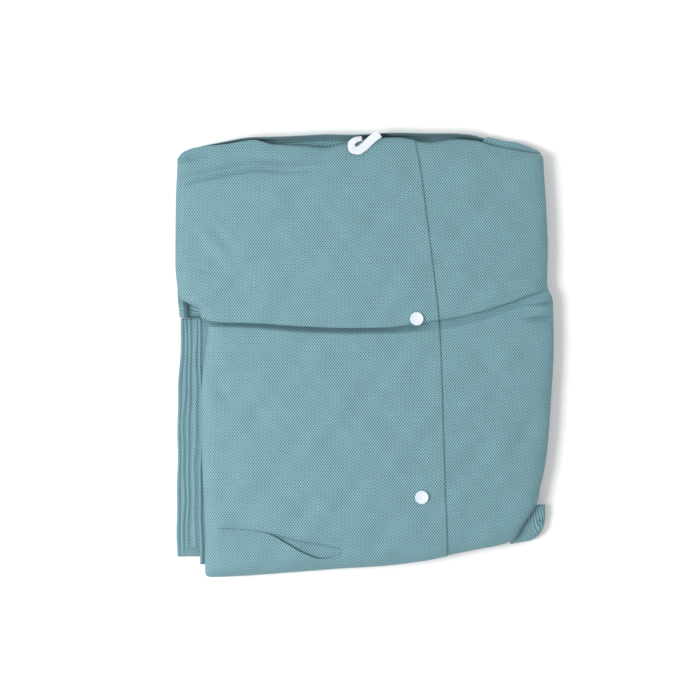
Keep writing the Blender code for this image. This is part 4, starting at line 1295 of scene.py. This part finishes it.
class COAT_OT_neck_tape(bpy.types.Operator):
    """Builds the hanging loop's tape, which lies in a curl over the top fold."""

    bl_idname = "coat.neck_tape"
    bl_label = "Neck tape"

    def execute(self, context):
        x, y, width, lift = along_rows(NECK_TAPE, TAPE_SECTIONS)
        route = np.stack((x, y), axis=-1)
        way = np.gradient(route, axis=0)
        way = way / np.linalg.norm(way, axis=-1, keepdims=True)
        across = np.stack((-way[:, 1], way[:, 0]), axis=-1)
        sides = np.linspace(-0.5, 0.5, TAPE_WIDTH_POINTS)[:, None]
        places = route[None] + across[None] * width[None, :, None] * sides[..., None]
        height = tape_height(places[..., 0], places[..., 1]) + lift[None]
        height = height + TAPE_RISE - TAPE_EDGE_DROP * (2.0 * sides) ** 4
        points = np.concatenate((places, height[..., None]), axis=-1)
        mesh, _ = grid_sheet(points, folded_lengths(points))
        tape = material_of("woven_polyester_tape", woven_tape, context.scene.coat_colours.tape)
        finish_piece(mesh, "neck_tape_weave", ["neck_tape"], tape, TAPE_WALL * MM)
        return {"FINISHED"}


# Steps of a snap cap's full turn
CAP_STEPS = 72


def cap_section(radius, height, rim):
    """Half a cap's section, as radius and height: from its underside round its rim and over its dish."""
    return (
        (0.0, 0.0),
        (radius - 1.0, 0.0),
        (radius - 0.3, 0.3),
        (radius, 0.8),
        (radius, 1.25),
        (radius - 0.12, height - 0.35),
        (radius - 0.4, height - 0.1),
        (radius - 0.8, height),
        (radius - rim, height - 0.05),
        (radius - rim - 0.3, height - 0.3),
        (radius - rim - 0.7, height - 0.5),
        (radius - rim - 1.5, height - 0.56),
        (1.2, height - 0.56),
        (0.9, height - 0.66),
        (0.0, height - 0.7),
    )


class COAT_OT_snaps(bpy.types.Operator):
    """Builds the snaps' caps, each a shallow dish inside a raised rim."""

    bl_idname = "coat.snaps"
    bl_label = "Snap caps"

    def execute(self, context):
        acetal = material_of("moulded_acetal", moulded_snap, context.scene.coat_colours.snaps)
        rim = context.scene.coat_sizes.snap_rim / MM
        for node in ("snap_cap_upper", "snap_cap_lower"):
            low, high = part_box(node)
            centre = (Vector(low) + Vector(high)) * 0.5
            section = cap_section(0.5 * (high[0] - low[0]) / MM, (high[2] - low[2]) / MM, rim)
            mesh = bmesh.new()
            verts = [mesh.verts.new((r * MM, 0.0, z * MM)) for r, z in section]
            edges = [mesh.edges.new(pair) for pair in zip(verts, verts[1:])]
            turn = {"axis": (0.0, 0.0, 1.0), "cent": (0.0, 0.0, 0.0), "angle": math.tau}
            bmesh.ops.spin(mesh, geom=verts + edges, steps=CAP_STEPS, use_merge=True, **turn)
            bmesh.ops.remove_doubles(mesh, verts=mesh.verts[:], dist=1e-6)
            bmesh.ops.translate(mesh, verts=mesh.verts[:], vec=(centre.x, centre.y, low[2]))
            finish_piece(mesh, node + "_moulding", [node], acetal)
        return {"FINISHED"}


# The view of the photograph: straight down, with this place of the packet in the middle of the frame
VIEW_CENTRE = (-13.4, 3.9)
VIEW_WIDTH = 644.0
VIEW_PLANE = 23.0
LENS = 85.0
SENSOR = 36.0

# The stage, in metres and watts
FLOOR_HALF_WIDTH = 4.0
ROOM_STRENGTH = 0.56
LIGHTS = table(
    "name place size power",
    ("key", (-1.0, -0.22, 1.35), 0.7, 25.0),
    ("fill", (0.9, 1.2, 1.6), 1.6, 10.0),
)


def add_to_scene(name, data):
    made = bpy.data.objects.new(name, data)
    bpy.context.scene.collection.objects.link(made)
    return made


def add_light(row):
    """A soft square light that looks at the packet."""
    data = bpy.data.lights.new(row.name, "AREA")
    data.shape = "SQUARE"
    data.size = row.size
    data.energy = row.power
    light = add_to_scene(row.name, data)
    light.location = row.place
    light.rotation_euler = (-Vector(row.place)).to_track_quat("-Z", "Y").to_euler()


def add_floor(colour):
    mesh = bmesh.new()
    bmesh.ops.create_grid(mesh, x_segments=2, y_segments=2, size=FLOOR_HALF_WIDTH)
    data = bpy.data.meshes.new("floor")
    mesh.to_mesh(data)
    mesh.free()
    data.materials.append(material_of("pale_board", seamless_floor, colour))
    add_to_scene("floor", data)


def add_room():
    """Even white light from all round."""
    world = bpy.data.worlds.new("soft_room")
    world.use_nodes = True
    white = {"Color": (1.0, 1.0, 1.0, 1.0), "Strength": ROOM_STRENGTH}
    set_inputs(world.node_tree, world.node_tree.nodes["Background"], white)
    return world


def add_camera():
    """A camera that looks straight down, as far off as its lens needs for the view's width."""
    data = bpy.data.cameras.new("camera")
    data.lens = LENS
    data.sensor_width = SENSOR
    camera = add_to_scene("camera", data)
    distance = VIEW_WIDTH * LENS / SENSOR
    camera.location = (VIEW_CENTRE[0] * MM, VIEW_CENTRE[1] * MM, (VIEW_PLANE + distance) * MM)
    return camera


class COAT_OT_stage(bpy.types.Operator):
    """Builds the pale floor, the soft lights and the camera over the packet."""

    bl_idname = "coat.stage"
    bl_label = "Stage"

    def execute(self, context):
        add_floor(context.scene.coat_colours.floor)
        for row in LIGHTS:
            add_light(row)
        context.scene.world = add_room()
        context.scene.camera = add_camera()
        context.scene.view_settings.view_transform = "Standard"
        return {"FINISHED"}


OPERATORS = (
    COAT_OT_folded_layers,
    COAT_OT_right_front,
    COAT_OT_left_front,
    COAT_OT_hip_pocket,
    COAT_OT_turned_sides,
    COAT_OT_left_sleeve,
    COAT_OT_back_neck,
    COAT_OT_neck_tape,
    COAT_OT_snaps,
    COAT_OT_stage,
)


class COAT_PT_pieces(bpy.types.Panel):
    """Lists the coat's pieces, its sizes and its colours."""

    bl_idname = "COAT_PT_pieces"
    bl_label = "Folded lab coat"
    bl_space_type = "VIEW_3D"
    bl_region_type = "UI"
    bl_category = "Lab coat"

    def draw(self, context):
        for group in (context.scene.coat_sizes, context.scene.coat_colours):
            for name in group.__annotations__:
                self.layout.prop(group, name)
        for operator in OPERATORS:
            self.layout.operator(operator.bl_idname)


CLASSES = (CoatSizes, CoatColours, *OPERATORS, COAT_PT_pieces)


def register():
    for kind in CLASSES:
        bpy.utils.register_class(kind)
    bpy.types.Scene.coat_sizes = bpy.props.PointerProperty(type=CoatSizes)
    bpy.types.Scene.coat_colours = bpy.props.PointerProperty(type=CoatColours)


def unregister():
    del bpy.types.Scene.coat_colours
    del bpy.types.Scene.coat_sizes
    for kind in reversed(CLASSES):
        bpy.utils.unregister_class(kind)


def main():
    register()
    for operator in OPERATORS:
        group, name = operator.bl_idname.split(".")
        getattr(getattr(bpy.ops, group), name)()


if __name__ == "__main__":
    main()
